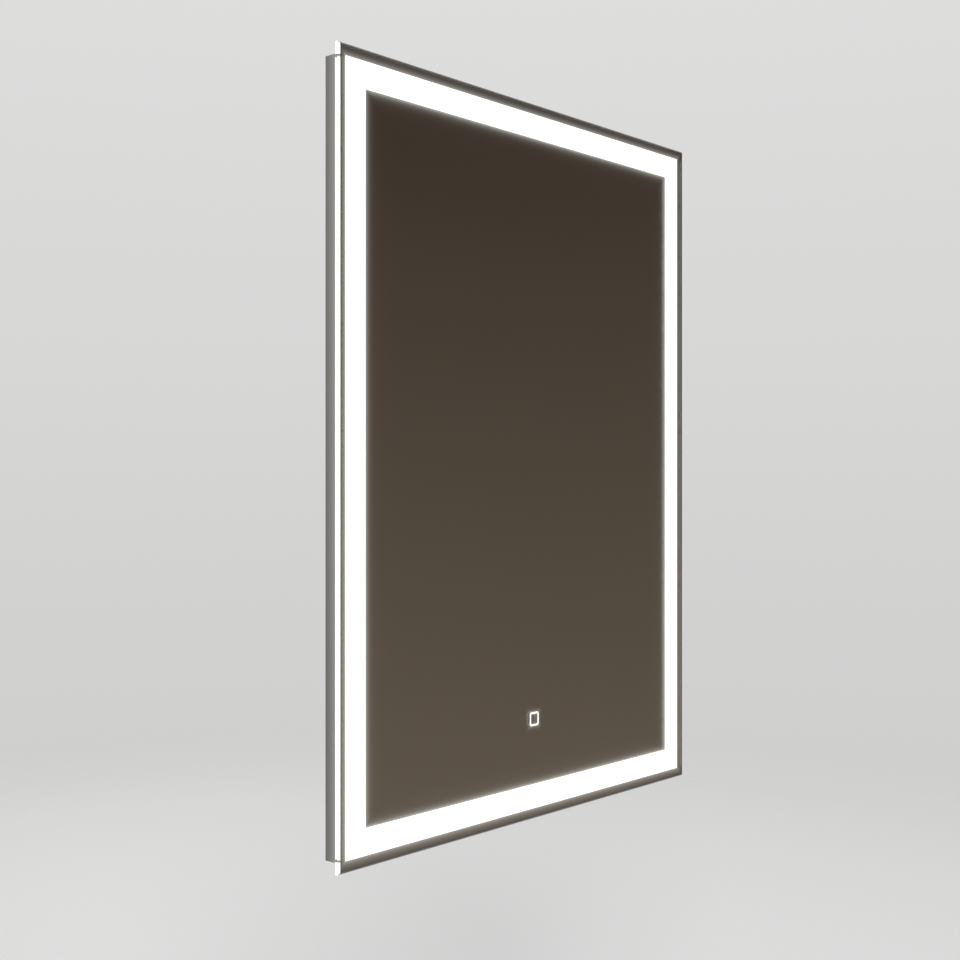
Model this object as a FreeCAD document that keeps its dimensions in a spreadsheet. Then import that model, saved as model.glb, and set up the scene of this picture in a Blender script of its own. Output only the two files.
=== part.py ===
import FreeCAD, Part
import math
import os
import Sketcher

# Lighted bathroom mirror, hung on a wall rail.
#
# A sheet of float glass carries the mirror coating on its back. The coating is left out along a band all
# round, which is etched and lit, and round a small square touch key. A mitred frame of aluminium channel is
# bonded behind the band and holds the LED tapes under opal strips. The middle of the back is open: the LED
# driver, the touch sensor, their leads and the hanging rail are there.
#
# Millimetres. X is to the right seen from the front, Y goes into the wall, Z is up. The origin is on the
# wall plane, midway between the wall rail's two round screw holes. "Out" is a distance out from the wall,
# and "inset" is a distance in from the glass edge.

SIZES = [
    # name, value, what it is
    ("GlassWidth", "600", "glass, side to side"),
    ("GlassHeight", "800", "glass, top to bottom"),
    ("GlassThickness", "5", "glass"),
    ("GlassChamfer", "2", "ground front edge of the glass"),
    ("GlassTop", "66", "top edge of the glass above the origin"),
    ("MirrorDepth", "30", "wall to the front of the glass"),
    ("CoatingThickness", "0.2", "silver and paint on the back of the glass"),
    ("BandInset", "11", "glass edge to the lit band"),
    ("BandWidth", "27", "lit band"),
    ("KeyHeight", "111", "centre of the touch key above the bottom of the glass"),
    ("KeySide", "15.5", "outside of the key's lit ring"),
    ("KeyStroke", "2", "width of the key's lit ring"),
    ("KeyRadius", "3", "outside corner of the key's lit ring"),
    ("BondThickness", "1", "foam tape between the glass and what it carries"),
    ("WallGap", "2", "wall to the back of the frame"),
    ("FrameInset", "8", "glass edge to the frame's outside"),
    ("ChannelWidth", "34", "outside of the channel, across"),
    ("ChannelWall", "1.4", "sheet of the channel"),
    ("ChannelRound", "0.8", "back arrises of the channel"),
    ("FootWidth", "2.8", "bonding foot of the channel's outer wall"),
    ("InnerFootWidth", "1", "bonding foot of the channel's inner wall, inside the channel"),
    ("LipWidth", "10", "bonding lip of the channel's inner wall"),
    ("LedgeWidth", "1.7", "ledges that the opal strips lie on"),
    ("LedgeDrop", "1.5", "front of the channel to the ledges"),
    ("LedgeThickness", "1.2", "ledges"),
    ("GuideHeight", "1", "guide ribs of the LED tape"),
    ("GuideWidth", "0.8", "guide ribs of the LED tape"),
    ("MitreGap", "0.1", "hairline between two mitred lengths"),
    ("OpalThickness", "2", "opal strips"),
    ("OpalClearance", "0.2", "opal strips to the channel"),
    ("LedTapeWidth", "8", "LED tape"),
    ("LedTapeThickness", "0.4", "LED tape"),
    ("LedLength", "3.5", "LED chip, along the tape"),
    ("LedWidth", "2.8", "LED chip, across the tape"),
    ("LedHeight", "0.8", "LED chip"),
    ("LedPitch", "16.67", "chip to chip"),
    ("JumperWidth", "1", "corner jumper wires"),
    ("JumperLength", "9", "middle of the tape across to the end of a jumper"),
    ("JumperThickness", "0.6", "corner jumper wires"),
    ("CleatLeg", "46", "leg of a corner cleat"),
    ("CleatThickness", "3", "corner cleat"),
    ("CleatClearance", "0.1", "corner cleat to the guide rib and to the inner wall"),
    ("RailSheet", "1.5", "sheet of both rails"),
    ("RailBend", "1", "inside radius of the rails' bends"),
    ("WallRailLength", "400", "wall rail"),
    ("WallRailBottom", "-14", "bottom of the wall rail"),
    ("WallRailShelf", "8", "top of the wall rail's shelf"),
    ("WallRailLipTop", "22.2", "top of the wall rail's lip"),
    ("WallRailLipOut", "4.9", "wall to the back of the lip"),
    ("WallScrewSpacing", "300", "round screw holes"),
    ("WallSlotSpacing", "120", "slotted screw holes"),
    ("WallSlotLength", "14", "slotted screw holes, end to end"),
    ("WallScrewRadius", "2.75", "round and slotted screw holes"),
    ("HangingRailLength", "500", "hanging rail"),
    ("HangingRailOut", "3", "wall to the back of the hook"),
    ("HangingRailDepth", "17", "hanging rail, front to back"),
    ("HookDrop", "13.8", "hanging rail's hook, top to tip"),
    ("StiffenerDrop", "9", "hanging rail's front flange, top to tip"),
    ("RivetRadius", "2", "shank of the hanging rail's rivets"),
    ("RivetHeadRadius", "4", "head of a rivet"),
    ("RivetHeadHeight", "1.2", "head of a rivet"),
    ("RivetBulb", "2.8", "set end of a rivet, its radius"),
    ("RivetBulbHeight", "3", "set end of a rivet"),
    ("RivetSpacing", "225", "rivet to rivet"),
    ("RivetCount", "3", "rivets of the hanging rail"),
    ("RivetOut", "11", "wall to the rivets"),
    ("BumperRadius", "6", "rubber bumpers"),
    ("BumperInset", "25", "glass edge to the middle of a bumper"),
    ("BumperReach", "150", "glass top or bottom to the middle of a bumper"),
    ("DriverLength", "150", "case of the LED driver"),
    ("DriverWidth", "42", "case of the LED driver"),
    ("DriverDepth", "16", "case of the LED driver"),
    ("DriverDrop", "95", "origin down to the middle of the driver"),
    ("DriverWall", "1.6", "case of the LED driver"),
    ("DriverCorner", "4", "case and cover of the LED driver"),
    ("CoverThickness", "1.4", "cover of the LED driver"),
    ("LidLipThickness", "1.2", "lips of the cover, inside the case's long walls"),
    ("LidLipDepth", "3", "lips of the cover"),
    ("LidLipEnd", "12", "end of the cover to its lips"),
    ("SnapAcross", "45", "middle of the driver to the middle of a snap lug"),
    ("SnapLength", "8", "snap lugs of the cover"),
    ("SnapHeight", "1", "snap lugs of the cover, along the depth"),
    ("SnapDrop", "1.4", "inside of the cover to a snap lug"),
    ("SnapReach", "0.9", "snap lugs of the cover, into the case's wall"),
    ("SnapFit", "0.1", "cover's lips and lugs to the case"),
    ("VentLength", "11", "vent slots of the cover"),
    ("VentWidth", "1.8", "vent slots of the cover"),
    ("VentPitch", "15", "vent slot to vent slot, along the cover"),
    ("VentRows", "6", "middle of the cover to a row of vent slots"),
    ("BoardThickness", "1.6", "circuit boards"),
    ("BoardLength", "126", "driver's circuit board"),
    ("BoardWidth", "35", "driver's circuit board"),
    ("BoardRise", "3", "case's floor to the driver's circuit board"),
    ("GlandBore", "3.5", "mains gland, radius for the supply cable"),
    ("GlandThread", "4.8", "mains gland, radius of its threaded end"),
    ("GlandFlats", "14", "mains gland, across flats"),
    ("GlandHexLength", "4", "mains gland, hexagon"),
    ("GlandCap", "6", "mains gland, radius of its clamping cap"),
    ("GlandCapLength", "8", "mains gland, clamping cap"),
    ("GlandCapBevel", "2", "mains gland, end of its cap"),
    ("GlandThreadLength", "6", "mains gland, threaded end"),
    ("NutFlats", "12.4", "nut of the gland, across flats"),
    ("NutThickness", "2.8", "nut of the gland"),
    ("SensorWidth", "46", "touch sensor's case"),
    ("SensorHeight", "34", "touch sensor's case"),
    ("SensorDepth", "9", "touch sensor's case"),
    ("SensorWall", "1.5", "touch sensor's case"),
    ("SensorCorner", "3", "touch sensor's case"),
    ("SensorPost", "4", "posts of the sensor's case, their side"),
    ("SensorPostHeight", "2.5", "posts of the sensor's case"),
    ("SensorLeadDepth", "6.3", "front of the sensor's case to the middle of a lead"),
    ("ElectrodeOutside", "23", "copper electrode, its side"),
    ("ElectrodeInside", "17", "copper electrode, its window"),
    ("ElectrodeThickness", "0.3", "copper electrode"),
    ("LeadRadius", "1.7", "low-voltage leads"),
    ("LeadFit", "0.15", "lead to the hole that it passes"),
    ("LeadRise", "2.6", "back of the coating to the middle of a clipped lead"),
    ("LeadColumn", "236", "middle of the glass to the long lead's upright run"),
    ("RingLeadAcross", "60", "middle of the glass to the short lead's hole in the frame"),
    ("RingLeadOut", "12", "wall to the short lead's hole in the frame"),
    ("ClipFoot", "12", "foot of a lead clip, across"),
    ("ClipFootThickness", "1.2", "foot of a lead clip"),
    ("ClipLength", "9", "lead clip, along the lead"),
    ("ClipCount", "4", "lead clips on the upright run"),
    ("ClipPitch", "135", "lead clip to lead clip"),
    ("ClipStart", "60", "middle of the driver down to the topmost clip of the upright run"),
    ("DriverRunClip", "95", "end of the driver to the clip on the upper run across"),
    ("SensorRunClip", "115", "side of the sensor to the clip on the lower run across"),
    ("GrommetWall", "1.1", "lead hole to the hole in the sheet"),
    ("GrommetFlange", "1.3", "flange of the grommet beyond the hole in the sheet"),
    ("GrommetThickness", "1.5", "flange of the grommet"),
]

doc = FreeCAD.newDocument("lighted_mirror")
sheet = doc.addObject("Spreadsheet::Sheet", "Sizes")
for row, (alias, number, meaning) in enumerate(SIZES, start=1):
    sheet.set(f"A{row}", meaning)
    sheet.set(f"B{row}", number)
    sheet.setAlias(f"B{row}", alias)
doc.recompute()

# Depths that several pieces share, out from the wall.
GLASS_BACK = "(Sizes.MirrorDepth - Sizes.GlassThickness)"
COATING_BACK = f"({GLASS_BACK} - Sizes.CoatingThickness)"
FRAME_FRONT = f"({COATING_BACK} - Sizes.BondThickness)"
FRAME_FLOOR = "(Sizes.WallGap + Sizes.ChannelWall)"
LEDGE_FRONT = f"({FRAME_FRONT} - Sizes.LedgeDrop)"
LEDGE_BACK = f"({LEDGE_FRONT} - Sizes.LedgeThickness)"

# Heights and insets that several pieces share.
GLASS_BOTTOM = "(Sizes.GlassTop - Sizes.GlassHeight)"
GLASS_MIDDLE = "(Sizes.GlassTop - Sizes.GlassHeight / 2)"
KEY_MIDDLE = f"({GLASS_BOTTOM} + Sizes.KeyHeight)"
BAND_MIDDLE = "(Sizes.BandInset + Sizes.BandWidth / 2)"
CHANNEL_INSIDE = "(Sizes.FrameInset + Sizes.ChannelWidth)"
INNER_FOOT = f"({CHANNEL_INSIDE} - Sizes.ChannelWall - Sizes.InnerFootWidth)"
GUIDE_SHIFT = "(Sizes.LedTapeWidth / 2 + Sizes.ChannelWall / 2)"
HANGING_TOP = f"(Sizes.GlassTop - {CHANNEL_INSIDE})"
DRIVER_MIDDLE = "(-Sizes.DriverDrop)"

# The four sides of the mirror. Each is drawn as if it were the top side, about the middle of the glass, and
# is then turned about Y. "reach" is the middle of the glass to this edge, "run" is the edge's length.
SIDES = {
    "top": {"reach": "Sizes.GlassHeight / 2", "run": "Sizes.GlassWidth", "turn": 0},
    "right": {"reach": "Sizes.GlassWidth / 2", "run": "Sizes.GlassHeight", "turn": 90},
    "bottom": {"reach": "Sizes.GlassHeight / 2", "run": "Sizes.GlassWidth", "turn": 180},
    "left": {"reach": "Sizes.GlassWidth / 2", "run": "Sizes.GlassHeight", "turn": 270},
}

# Glass edge to the end of a side's LED tape, and the chips on it. The tapes across run into the corners,
# and the upright ones stop short of them.
TAPES = {
    "top": {"end": 21, "chips": 33},
    "right": {"end": 30, "chips": 44},
    "bottom": {"end": 21, "chips": 33},
    "left": {"end": 30, "chips": 44},
}

pieces = []


# ---------------------------------------------------------------- drawing helpers

def value_of(expression):
    """The number that an expression on the sheet gives."""
    result = sheet.evalExpression(expression)
    return float(getattr(result, "Value", result))


def size(alias):
    """The number in the sheet's cell of that name."""
    return float(getattr(sheet, alias))


def place(item, x="0", y="0", z="0", turn=0):
    """Binds where a piece stands, after a turn about Y in degrees."""
    item.Placement = FreeCAD.Placement(FreeCAD.Vector(), FreeCAD.Rotation(FreeCAD.Vector(0, 1, 0), turn))
    item.setExpression("Placement.Base.x", x)
    item.setExpression("Placement.Base.y", y)
    item.setExpression("Placement.Base.z", z)


def new_body(label, x="0", out="0", z="0", turn=0):
    """A body whose own origin stands at x and z, so far out from the wall."""
    body = doc.addObject("PartDesign::Body", label)
    body.Label = label
    place(body, x, f"-({out})", z, turn)
    pieces.append(body)
    return body


def new_sketch(body, role, name, offset="0"):
    """A sketch on one of the body's own planes, moved along the plane's normal by an offset.

    On YZ_Plane the sketch's axes are Y and Z and it faces +X; on XZ_Plane they are X and Z and it faces
    -Y, out from the wall; on XY_Plane they are X and Y and it faces +Z.
    """
    plane = next(item for item in body.Origin.OriginFeatures if item.Role == role)
    sketch = body.newObject("Sketcher::SketchObject", f"{body.Name}_{name}")
    sketch.AttachmentSupport = [(plane, "")]
    sketch.MapMode = "FlatFace"
    sketch.setExpression("AttachmentOffset.Base.z", offset)
    return sketch


def pin_point(sketch, geometry, end, across, up):
    """Binds a point of the sketch to two expressions."""
    for kind, expression in (("DistanceX", across), ("DistanceY", up)):
        index = sketch.addConstraint(
            Sketcher.Constraint(kind, -1, 1, geometry, end, value_of(expression)))
        sketch.setExpression(f"Constraints[{index}]", expression)


def draw_polygon(sketch, corners):
    """A closed outline through corners that are given as pairs of expressions."""
    points = [FreeCAD.Vector(value_of(across), value_of(up), 0) for across, up in corners]
    first = sketch.GeometryCount
    count = len(corners)
    for index in range(count):
        sketch.addGeometry(Part.LineSegment(points[index], points[(index + 1) % count]))
    for index in range(count):
        following = first + (index + 1) % count
        sketch.addConstraint(Sketcher.Constraint("Coincident", first + index, 2, following, 1))
    for index, (across, up) in enumerate(corners):
        pin_point(sketch, first + index, 1, across, up)


def draw_rectangle(sketch, left, right, low, high):
    """A rectangle between four expressions."""
    draw_polygon(sketch, [(left, low), (right, low), (right, high), (left, high)])


def draw_circle(sketch, across, up, radius):
    """A circle about a point, all given as expressions."""
    centre = FreeCAD.Vector(value_of(across), value_of(up), 0)
    circle = sketch.addGeometry(Part.Circle(centre, FreeCAD.Vector(0, 0, 1), value_of(radius)))
    pin_point(sketch, circle, 3, across, up)
    index = sketch.addConstraint(Sketcher.Constraint("Radius", circle, value_of(radius)))
    sketch.setExpression(f"Constraints[{index}]", radius)


def draw_slot(sketch, across, up, length, radius):
    """A slot with round ends that runs across, about a point."""
    half = f"(({length}) / 2 - ({radius}))"
    normal = FreeCAD.Vector(0, 0, 1)
    middle = FreeCAD.Vector(value_of(across), value_of(up), 0)
    shift = FreeCAD.Vector(value_of(half), 0, 0)
    lift = FreeCAD.Vector(0, value_of(radius), 0)
    right = sketch.addGeometry(Part.ArcOfCircle(
        Part.Circle(middle + shift, normal, value_of(radius)), -math.pi / 2, math.pi / 2))
    left = sketch.addGeometry(Part.ArcOfCircle(
        Part.Circle(middle - shift, normal, value_of(radius)), math.pi / 2, 3 * math.pi / 2))
    top = sketch.addGeometry(Part.LineSegment(middle + shift + lift, middle - shift + lift))
    bottom = sketch.addGeometry(Part.LineSegment(middle - shift - lift, middle + shift - lift))
    for one, one_end, other, other_end in (
            (right, 2, top, 1), (top, 2, left, 1), (left, 2, bottom, 1), (bottom, 2, right, 1)):
        sketch.addConstraint(Sketcher.Constraint("Tangent", one, one_end, other, other_end))
    sketch.addConstraint(Sketcher.Constraint("Horizontal", top))
    pin_point(sketch, right, 3, f"({across}) + {half}", up)
    left_middle = f"({across}) - {half}"
    index = sketch.addConstraint(Sketcher.Constraint("DistanceX", -1, 1, left, 3, value_of(left_middle)))
    sketch.setExpression(f"Constraints[{index}]", left_middle)
    index = sketch.addConstraint(Sketcher.Constraint("Radius", right, value_of(radius)))
    sketch.setExpression(f"Constraints[{index}]", radius)


def pad(body, sketch, length, symmetric=False, reverse=False):
    """Adds the sketch's outlines to the body, so long."""
    feature = body.newObject("PartDesign::Pad", f"{sketch.Name}_pad")
    feature.Profile = sketch
    feature.SideType = "Symmetric" if symmetric else "One side"
    feature.Reversed = reverse
    feature.setExpression("Length", length)
    return feature


def pocket(body, sketch, length, symmetric=False, reverse=False):
    """Cuts the sketch's outlines out of the body, so deep, and makes sure that it took something away."""
    doc.recompute()
    before = body.Shape.Volume
    feature = body.newObject("PartDesign::Pocket", f"{sketch.Name}_pocket")
    feature.Profile = sketch
    feature.SideType = "Symmetric" if symmetric else "One side"
    feature.Reversed = reverse
    feature.setExpression("Length", length)
    doc.recompute()
    if body.Shape.Volume > before - 1e-3:
        raise RuntimeError(f"{feature.Name} cuts nothing")
    return feature


def dress_edges(body, kind, amount_name, amount, chosen):
    """A fillet or chamfer on the edges of the body's tip that a test chooses."""
    doc.recompute()
    tip = body.Tip
    names = [f"Edge{index}" for index, edge in enumerate(tip.Shape.Edges, start=1) if chosen(edge)]
    if not names:
        raise RuntimeError(f"no edge of {body.Name} was chosen")
    feature = body.newObject(f"PartDesign::{kind}", f"{body.Name}_{kind.lower()}")
    feature.Base = (tip, names)
    feature.setExpression(amount_name, amount)
    return feature


def fillet(body, radius, chosen):
    """Rounds the chosen edges."""
    return dress_edges(body, "Fillet", "Radius", radius, chosen)


def chamfer(body, amount, chosen):
    """Bevels the chosen edges."""
    return dress_edges(body, "Chamfer", "Size", amount, chosen)


def runs_along(edge, axis):
    """Whether an edge is straight and runs along one of the axes 0, 1 and 2."""
    if not isinstance(edge.Curve, Part.Line):
        return False
    return abs(abs(edge.Curve.Direction[axis]) - 1) < 1e-6


def middle_of(edge):
    """The middle of an edge's box."""
    return edge.BoundBox.Center


def near(number, expression):
    """Whether a number is what the expression says."""
    return abs(number - value_of(expression)) < 1e-4


# ---------------------------------------------------------------- glass and coating

def make_glass():
    """The sheet of glass, with its front edges ground back all round."""
    body = new_body("mirror_glass", out=GLASS_BACK, z=GLASS_MIDDLE)
    sketch = new_sketch(body, "XZ_Plane", "sheet")
    draw_rectangle(sketch, "-Sizes.GlassWidth / 2", "Sizes.GlassWidth / 2",
                   "-Sizes.GlassHeight / 2", "Sizes.GlassHeight / 2")
    pad(body, sketch, "Sizes.GlassThickness")
    chamfer(body, "Sizes.GlassChamfer",
            lambda edge: near(edge.BoundBox.YMin, "-Sizes.GlassThickness")
            and near(edge.BoundBox.YMax, "-Sizes.GlassThickness"))


def make_coating():
    """The silver and paint, with the band and the key's ring left clear."""
    body = new_body("mirror_coating", out=COATING_BACK, z=GLASS_MIDDLE)
    sketch = new_sketch(body, "XZ_Plane", "layers")
    band_outside = "Sizes.BandInset"
    band_inside = "Sizes.BandInset + Sizes.BandWidth"
    for inset in ("0", band_outside, band_inside):
        across = f"(Sizes.GlassWidth / 2 - ({inset}))"
        up = f"(Sizes.GlassHeight / 2 - ({inset}))"
        draw_rectangle(sketch, f"-{across}", across, f"-{up}", up)
    pad(body, sketch, "Sizes.CoatingThickness")

    key_up = f"({KEY_MIDDLE} - {GLASS_MIDDLE})"
    outside = new_sketch(body, "XZ_Plane", "key")
    draw_rounded_square(outside, key_up, "Sizes.KeySide / 2", "Sizes.KeyRadius")
    draw_rounded_square(outside, key_up, "(Sizes.KeySide / 2 - Sizes.KeyStroke)",
                        "(Sizes.KeyRadius - Sizes.KeyStroke)")
    pocket(body, outside, "2 * Sizes.CoatingThickness", symmetric=True)


def draw_rounded_square(sketch, up, half, radius):
    """A square with round corners on the sketch's upright axis, at a height."""
    side = value_of(half)
    bend = value_of(radius)
    centre = FreeCAD.Vector(0, value_of(up), 0)
    normal = FreeCAD.Vector(0, 0, 1)
    arcs = []
    lines = []
    for quarter in range(4):
        turn = quarter * math.pi / 2
        spin = FreeCAD.Rotation(normal, math.degrees(turn))
        corner = centre + spin.multVec(FreeCAD.Vector(side - bend, side - bend, 0))
        circle = Part.Circle(corner, normal, bend)
        arcs.append(sketch.addGeometry(Part.ArcOfCircle(circle, turn, turn + math.pi / 2)))
        start = centre + spin.multVec(FreeCAD.Vector(side - bend, side, 0))
        end = centre + spin.multVec(FreeCAD.Vector(bend - side, side, 0))
        lines.append(sketch.addGeometry(Part.LineSegment(start, end)))
    for quarter in range(4):
        sketch.addConstraint(Sketcher.Constraint("Tangent", arcs[quarter], 2, lines[quarter], 1))
        sketch.addConstraint(Sketcher.Constraint("Tangent", lines[quarter], 2, arcs[(quarter + 1) % 4], 1))
    inner = f"(({half}) - ({radius}))"
    pin_point(sketch, arcs[0], 3, inner, f"({up}) + {inner}")
    pin_point(sketch, arcs[2], 3, f"-{inner}", f"({up}) - {inner}")
    for index in (1, 2, 3):
        sketch.addConstraint(Sketcher.Constraint("Equal", arcs[0], arcs[index]))
    index = sketch.addConstraint(Sketcher.Constraint("Radius", arcs[0], bend))
    sketch.setExpression(f"Constraints[{index}]", radius)
    sketch.addConstraint(Sketcher.Constraint("Horizontal", lines[0]))


# ---------------------------------------------------------------- frame

def side_body(label, side):
    """A body drawn as the top side and turned to the side it belongs to."""
    return new_body(f"{label}_{side}", z=GLASS_MIDDLE, turn=SIDES[side]["turn"])


def channel_section(reach):
    """The channel across its length: outer wall with foot and ledge, floor with two guide ribs, inner wall
    with ledge and lip. Open towards the glass."""
    outside = "Sizes.FrameInset"
    foot = "(Sizes.FrameInset + Sizes.FootWidth)"
    lip = f"({CHANNEL_INSIDE} + Sizes.LipWidth)"
    wall = "Sizes.ChannelWall"
    lip_back = f"({FRAME_FRONT} - {wall})"
    guide_top = f"({FRAME_FLOOR} + Sizes.GuideHeight)"
    guide = GUIDE_SHIFT
    corners = [
        (outside, "Sizes.WallGap"),
        (outside, FRAME_FRONT),
        (foot, FRAME_FRONT),
        (foot, LEDGE_FRONT),
        (f"{foot} + Sizes.LedgeWidth", LEDGE_FRONT),
        (f"{foot} + Sizes.LedgeWidth", LEDGE_BACK),
        (f"{outside} + {wall}", LEDGE_BACK),
        (f"{outside} + {wall}", FRAME_FLOOR),
        (f"{BAND_MIDDLE} - {guide} - Sizes.GuideWidth", FRAME_FLOOR),
        (f"{BAND_MIDDLE} - {guide} - Sizes.GuideWidth", guide_top),
        (f"{BAND_MIDDLE} - {guide}", guide_top),
        (f"{BAND_MIDDLE} - {guide}", FRAME_FLOOR),
        (f"{BAND_MIDDLE} + {guide}", FRAME_FLOOR),
        (f"{BAND_MIDDLE} + {guide}", guide_top),
        (f"{BAND_MIDDLE} + {guide} + Sizes.GuideWidth", guide_top),
        (f"{BAND_MIDDLE} + {guide} + Sizes.GuideWidth", FRAME_FLOOR),
        (f"{CHANNEL_INSIDE} - {wall}", FRAME_FLOOR),
        (f"{CHANNEL_INSIDE} - {wall}", LEDGE_BACK),
        (f"{CHANNEL_INSIDE} - {wall} - Sizes.LedgeWidth", LEDGE_BACK),
        (f"{CHANNEL_INSIDE} - {wall} - Sizes.LedgeWidth", LEDGE_FRONT),
        (INNER_FOOT, LEDGE_FRONT),
        (INNER_FOOT, FRAME_FRONT),
        (lip, FRAME_FRONT),
        (lip, lip_back),
        (CHANNEL_INSIDE, lip_back),
        (CHANNEL_INSIDE, "Sizes.WallGap"),
    ]
    return [(f"-({out})", f"{reach} - ({inset})") for inset, out in corners]


def make_channel(side):
    """One length of the frame, mitred at both ends."""
    reach = SIDES[side]["reach"]
    run = SIDES[side]["run"]
    body = side_body("frame", side)
    section = new_sketch(body, "YZ_Plane", "section")
    draw_polygon(section, channel_section(reach))
    pad(body, section, f"{run} - 2 * Sizes.FrameInset", symmetric=True)
    fillet(body, "Sizes.ChannelRound",
           lambda edge: runs_along(edge, 0) and near(middle_of(edge).y, "-Sizes.WallGap"))

    mitres = new_sketch(body, "XZ_Plane", "mitres")
    beyond = 2
    outside = f"(Sizes.FrameInset - {beyond})"
    inside = f"({CHANNEL_INSIDE} + Sizes.LipWidth + {beyond})"
    for sign in ("", "-"):
        far_across = f"{sign}({run} / 2 - {outside} - Sizes.MitreGap / 2)"
        near_across = f"{sign}({run} / 2 - {inside} - Sizes.MitreGap / 2)"
        draw_polygon(mitres, [(far_across, f"{reach} - {outside}"),
                              (near_across, f"{reach} - {inside}"),
                              (far_across, f"{reach} - {inside}")])
    pocket(body, mitres, "2 * Sizes.MirrorDepth", symmetric=True)
    return body


def bore_inner_wall(body, reach, holes, radius):
    """Round holes through the channel's inner wall, at pairs of across and out."""
    before_wall = 5
    start = f"{reach} - {CHANNEL_INSIDE} - {before_wall}"
    sketch = new_sketch(body, "XY_Plane", "wall_holes", offset=start)
    for across, out in holes:
        draw_circle(sketch, across, f"-({out})", radius)
    pocket(body, sketch, f"{before_wall} + 2 * Sizes.ChannelWall", reverse=True)


def rivet_places():
    """Where the rivets stand along the hanging rail."""
    count = int(size("RivetCount"))
    return [f"({index} - (Sizes.RivetCount - 1) / 2) * Sizes.RivetSpacing" for index in range(count)]


def make_frame():
    """The four lengths, with the rivet holes in the top one and the lead's hole in the bottom one."""
    for side in SIDES:
        body = make_channel(side)
        reach = SIDES[side]["reach"]
        if side == "top":
            holes = [(across, "Sizes.RivetOut") for across in rivet_places()]
            bore_inner_wall(body, reach, holes, "Sizes.RivetRadius")
        if side == "bottom":
            bore_inner_wall(body, reach, [("Sizes.RingLeadAcross", "Sizes.RingLeadOut")],
                            "Sizes.LeadRadius + Sizes.GrommetWall")


def quadrant_signs():
    """The signs of the four quadrants of the mirror, across and up."""
    return [("", ""), ("-", ""), ("-", "-"), ("", "-")]


def make_corner_cleats():
    """Four L-shaped cleats, pressed between the channels' inner guide rib and inner wall. They hold the
    mitres together."""
    body = new_body("corner_cleats", out=FRAME_FLOOR, z=GLASS_MIDDLE)
    sketch = new_sketch(body, "XZ_Plane", "cleats")
    low = f"({BAND_MIDDLE} + {GUIDE_SHIFT} + Sizes.GuideWidth + Sizes.CleatClearance)"
    high = f"({CHANNEL_INSIDE} - Sizes.ChannelWall - Sizes.CleatClearance)"
    end = f"({low} + Sizes.CleatLeg)"
    outline = [(low, low), (end, low), (end, high), (high, high), (high, end), (low, end)]
    for across_sign, up_sign in quadrant_signs():
        draw_polygon(sketch, [(f"{across_sign}(Sizes.GlassWidth / 2 - {inset_across})",
                               f"{up_sign}(Sizes.GlassHeight / 2 - {inset_up})")
                              for inset_across, inset_up in outline])
    pad(body, sketch, "Sizes.CleatThickness")


def make_bond_tapes():
    """Foam tape under the foot and the lip of the frame: long strips across, shorter ones upright."""
    gap = 0.2
    rows = {
        "outer": ("Sizes.FrameInset", "Sizes.FrameInset + Sizes.FootWidth"),
        "inner": (INNER_FOOT, f"{CHANNEL_INSIDE} + Sizes.LipWidth"),
    }
    for name, (low, high) in rows.items():
        body = new_body(f"bond_tape_{name}", out=FRAME_FRONT, z=GLASS_MIDDLE)
        sketch = new_sketch(body, "XZ_Plane", "strips")
        width = "Sizes.GlassWidth / 2"
        height = "Sizes.GlassHeight / 2"
        for sign in ("", "-"):
            draw_rectangle(sketch, f"-({width} - ({low}))", f"{width} - ({low})",
                           f"{sign}({height} - ({high}))", f"{sign}({height} - ({low}))")
            draw_rectangle(sketch, f"{sign}({width} - ({high}))", f"{sign}({width} - ({low}))",
                           f"-({height} - ({high}) - {gap})", f"{height} - ({high}) - {gap}")
        pad(body, sketch, "Sizes.BondThickness")


# ---------------------------------------------------------------- light

def make_opal_strip(side):
    """The opal strip that lies on one channel's ledges, mitred at both ends."""
    reach = SIDES[side]["reach"]
    run = SIDES[side]["run"]
    body = side_body("diffuser", side)
    low = "(Sizes.FrameInset + Sizes.FootWidth + Sizes.OpalClearance)"
    high = f"({INNER_FOOT} - Sizes.OpalClearance)"
    sketch = new_sketch(body, "XZ_Plane", "strip", offset=LEDGE_FRONT)
    draw_polygon(sketch, [
        (f"-({run} / 2 - {low} - Sizes.MitreGap)", f"{reach} - {low}"),
        (f"{run} / 2 - {low} - Sizes.MitreGap", f"{reach} - {low}"),
        (f"{run} / 2 - {high} - Sizes.MitreGap", f"{reach} - {high}"),
        (f"-({run} / 2 - {high} - Sizes.MitreGap)", f"{reach} - {high}")])
    pad(body, sketch, "Sizes.OpalThickness")


def make_led_tape(side):
    """One side's LED tape, on the channel's floor between the guide ribs."""
    reach = SIDES[side]["reach"]
    half = f"({SIDES[side]['run']} / 2 - {TAPES[side]['end']})"
    body = side_body("led_tape", side)
    sketch = new_sketch(body, "XZ_Plane", "strip", offset=FRAME_FLOOR)
    draw_rectangle(sketch, f"-{half}", half,
                   f"{reach} - {BAND_MIDDLE} - Sizes.LedTapeWidth / 2",
                   f"{reach} - {BAND_MIDDLE} + Sizes.LedTapeWidth / 2")
    pad(body, sketch, "Sizes.LedTapeThickness")


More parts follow.
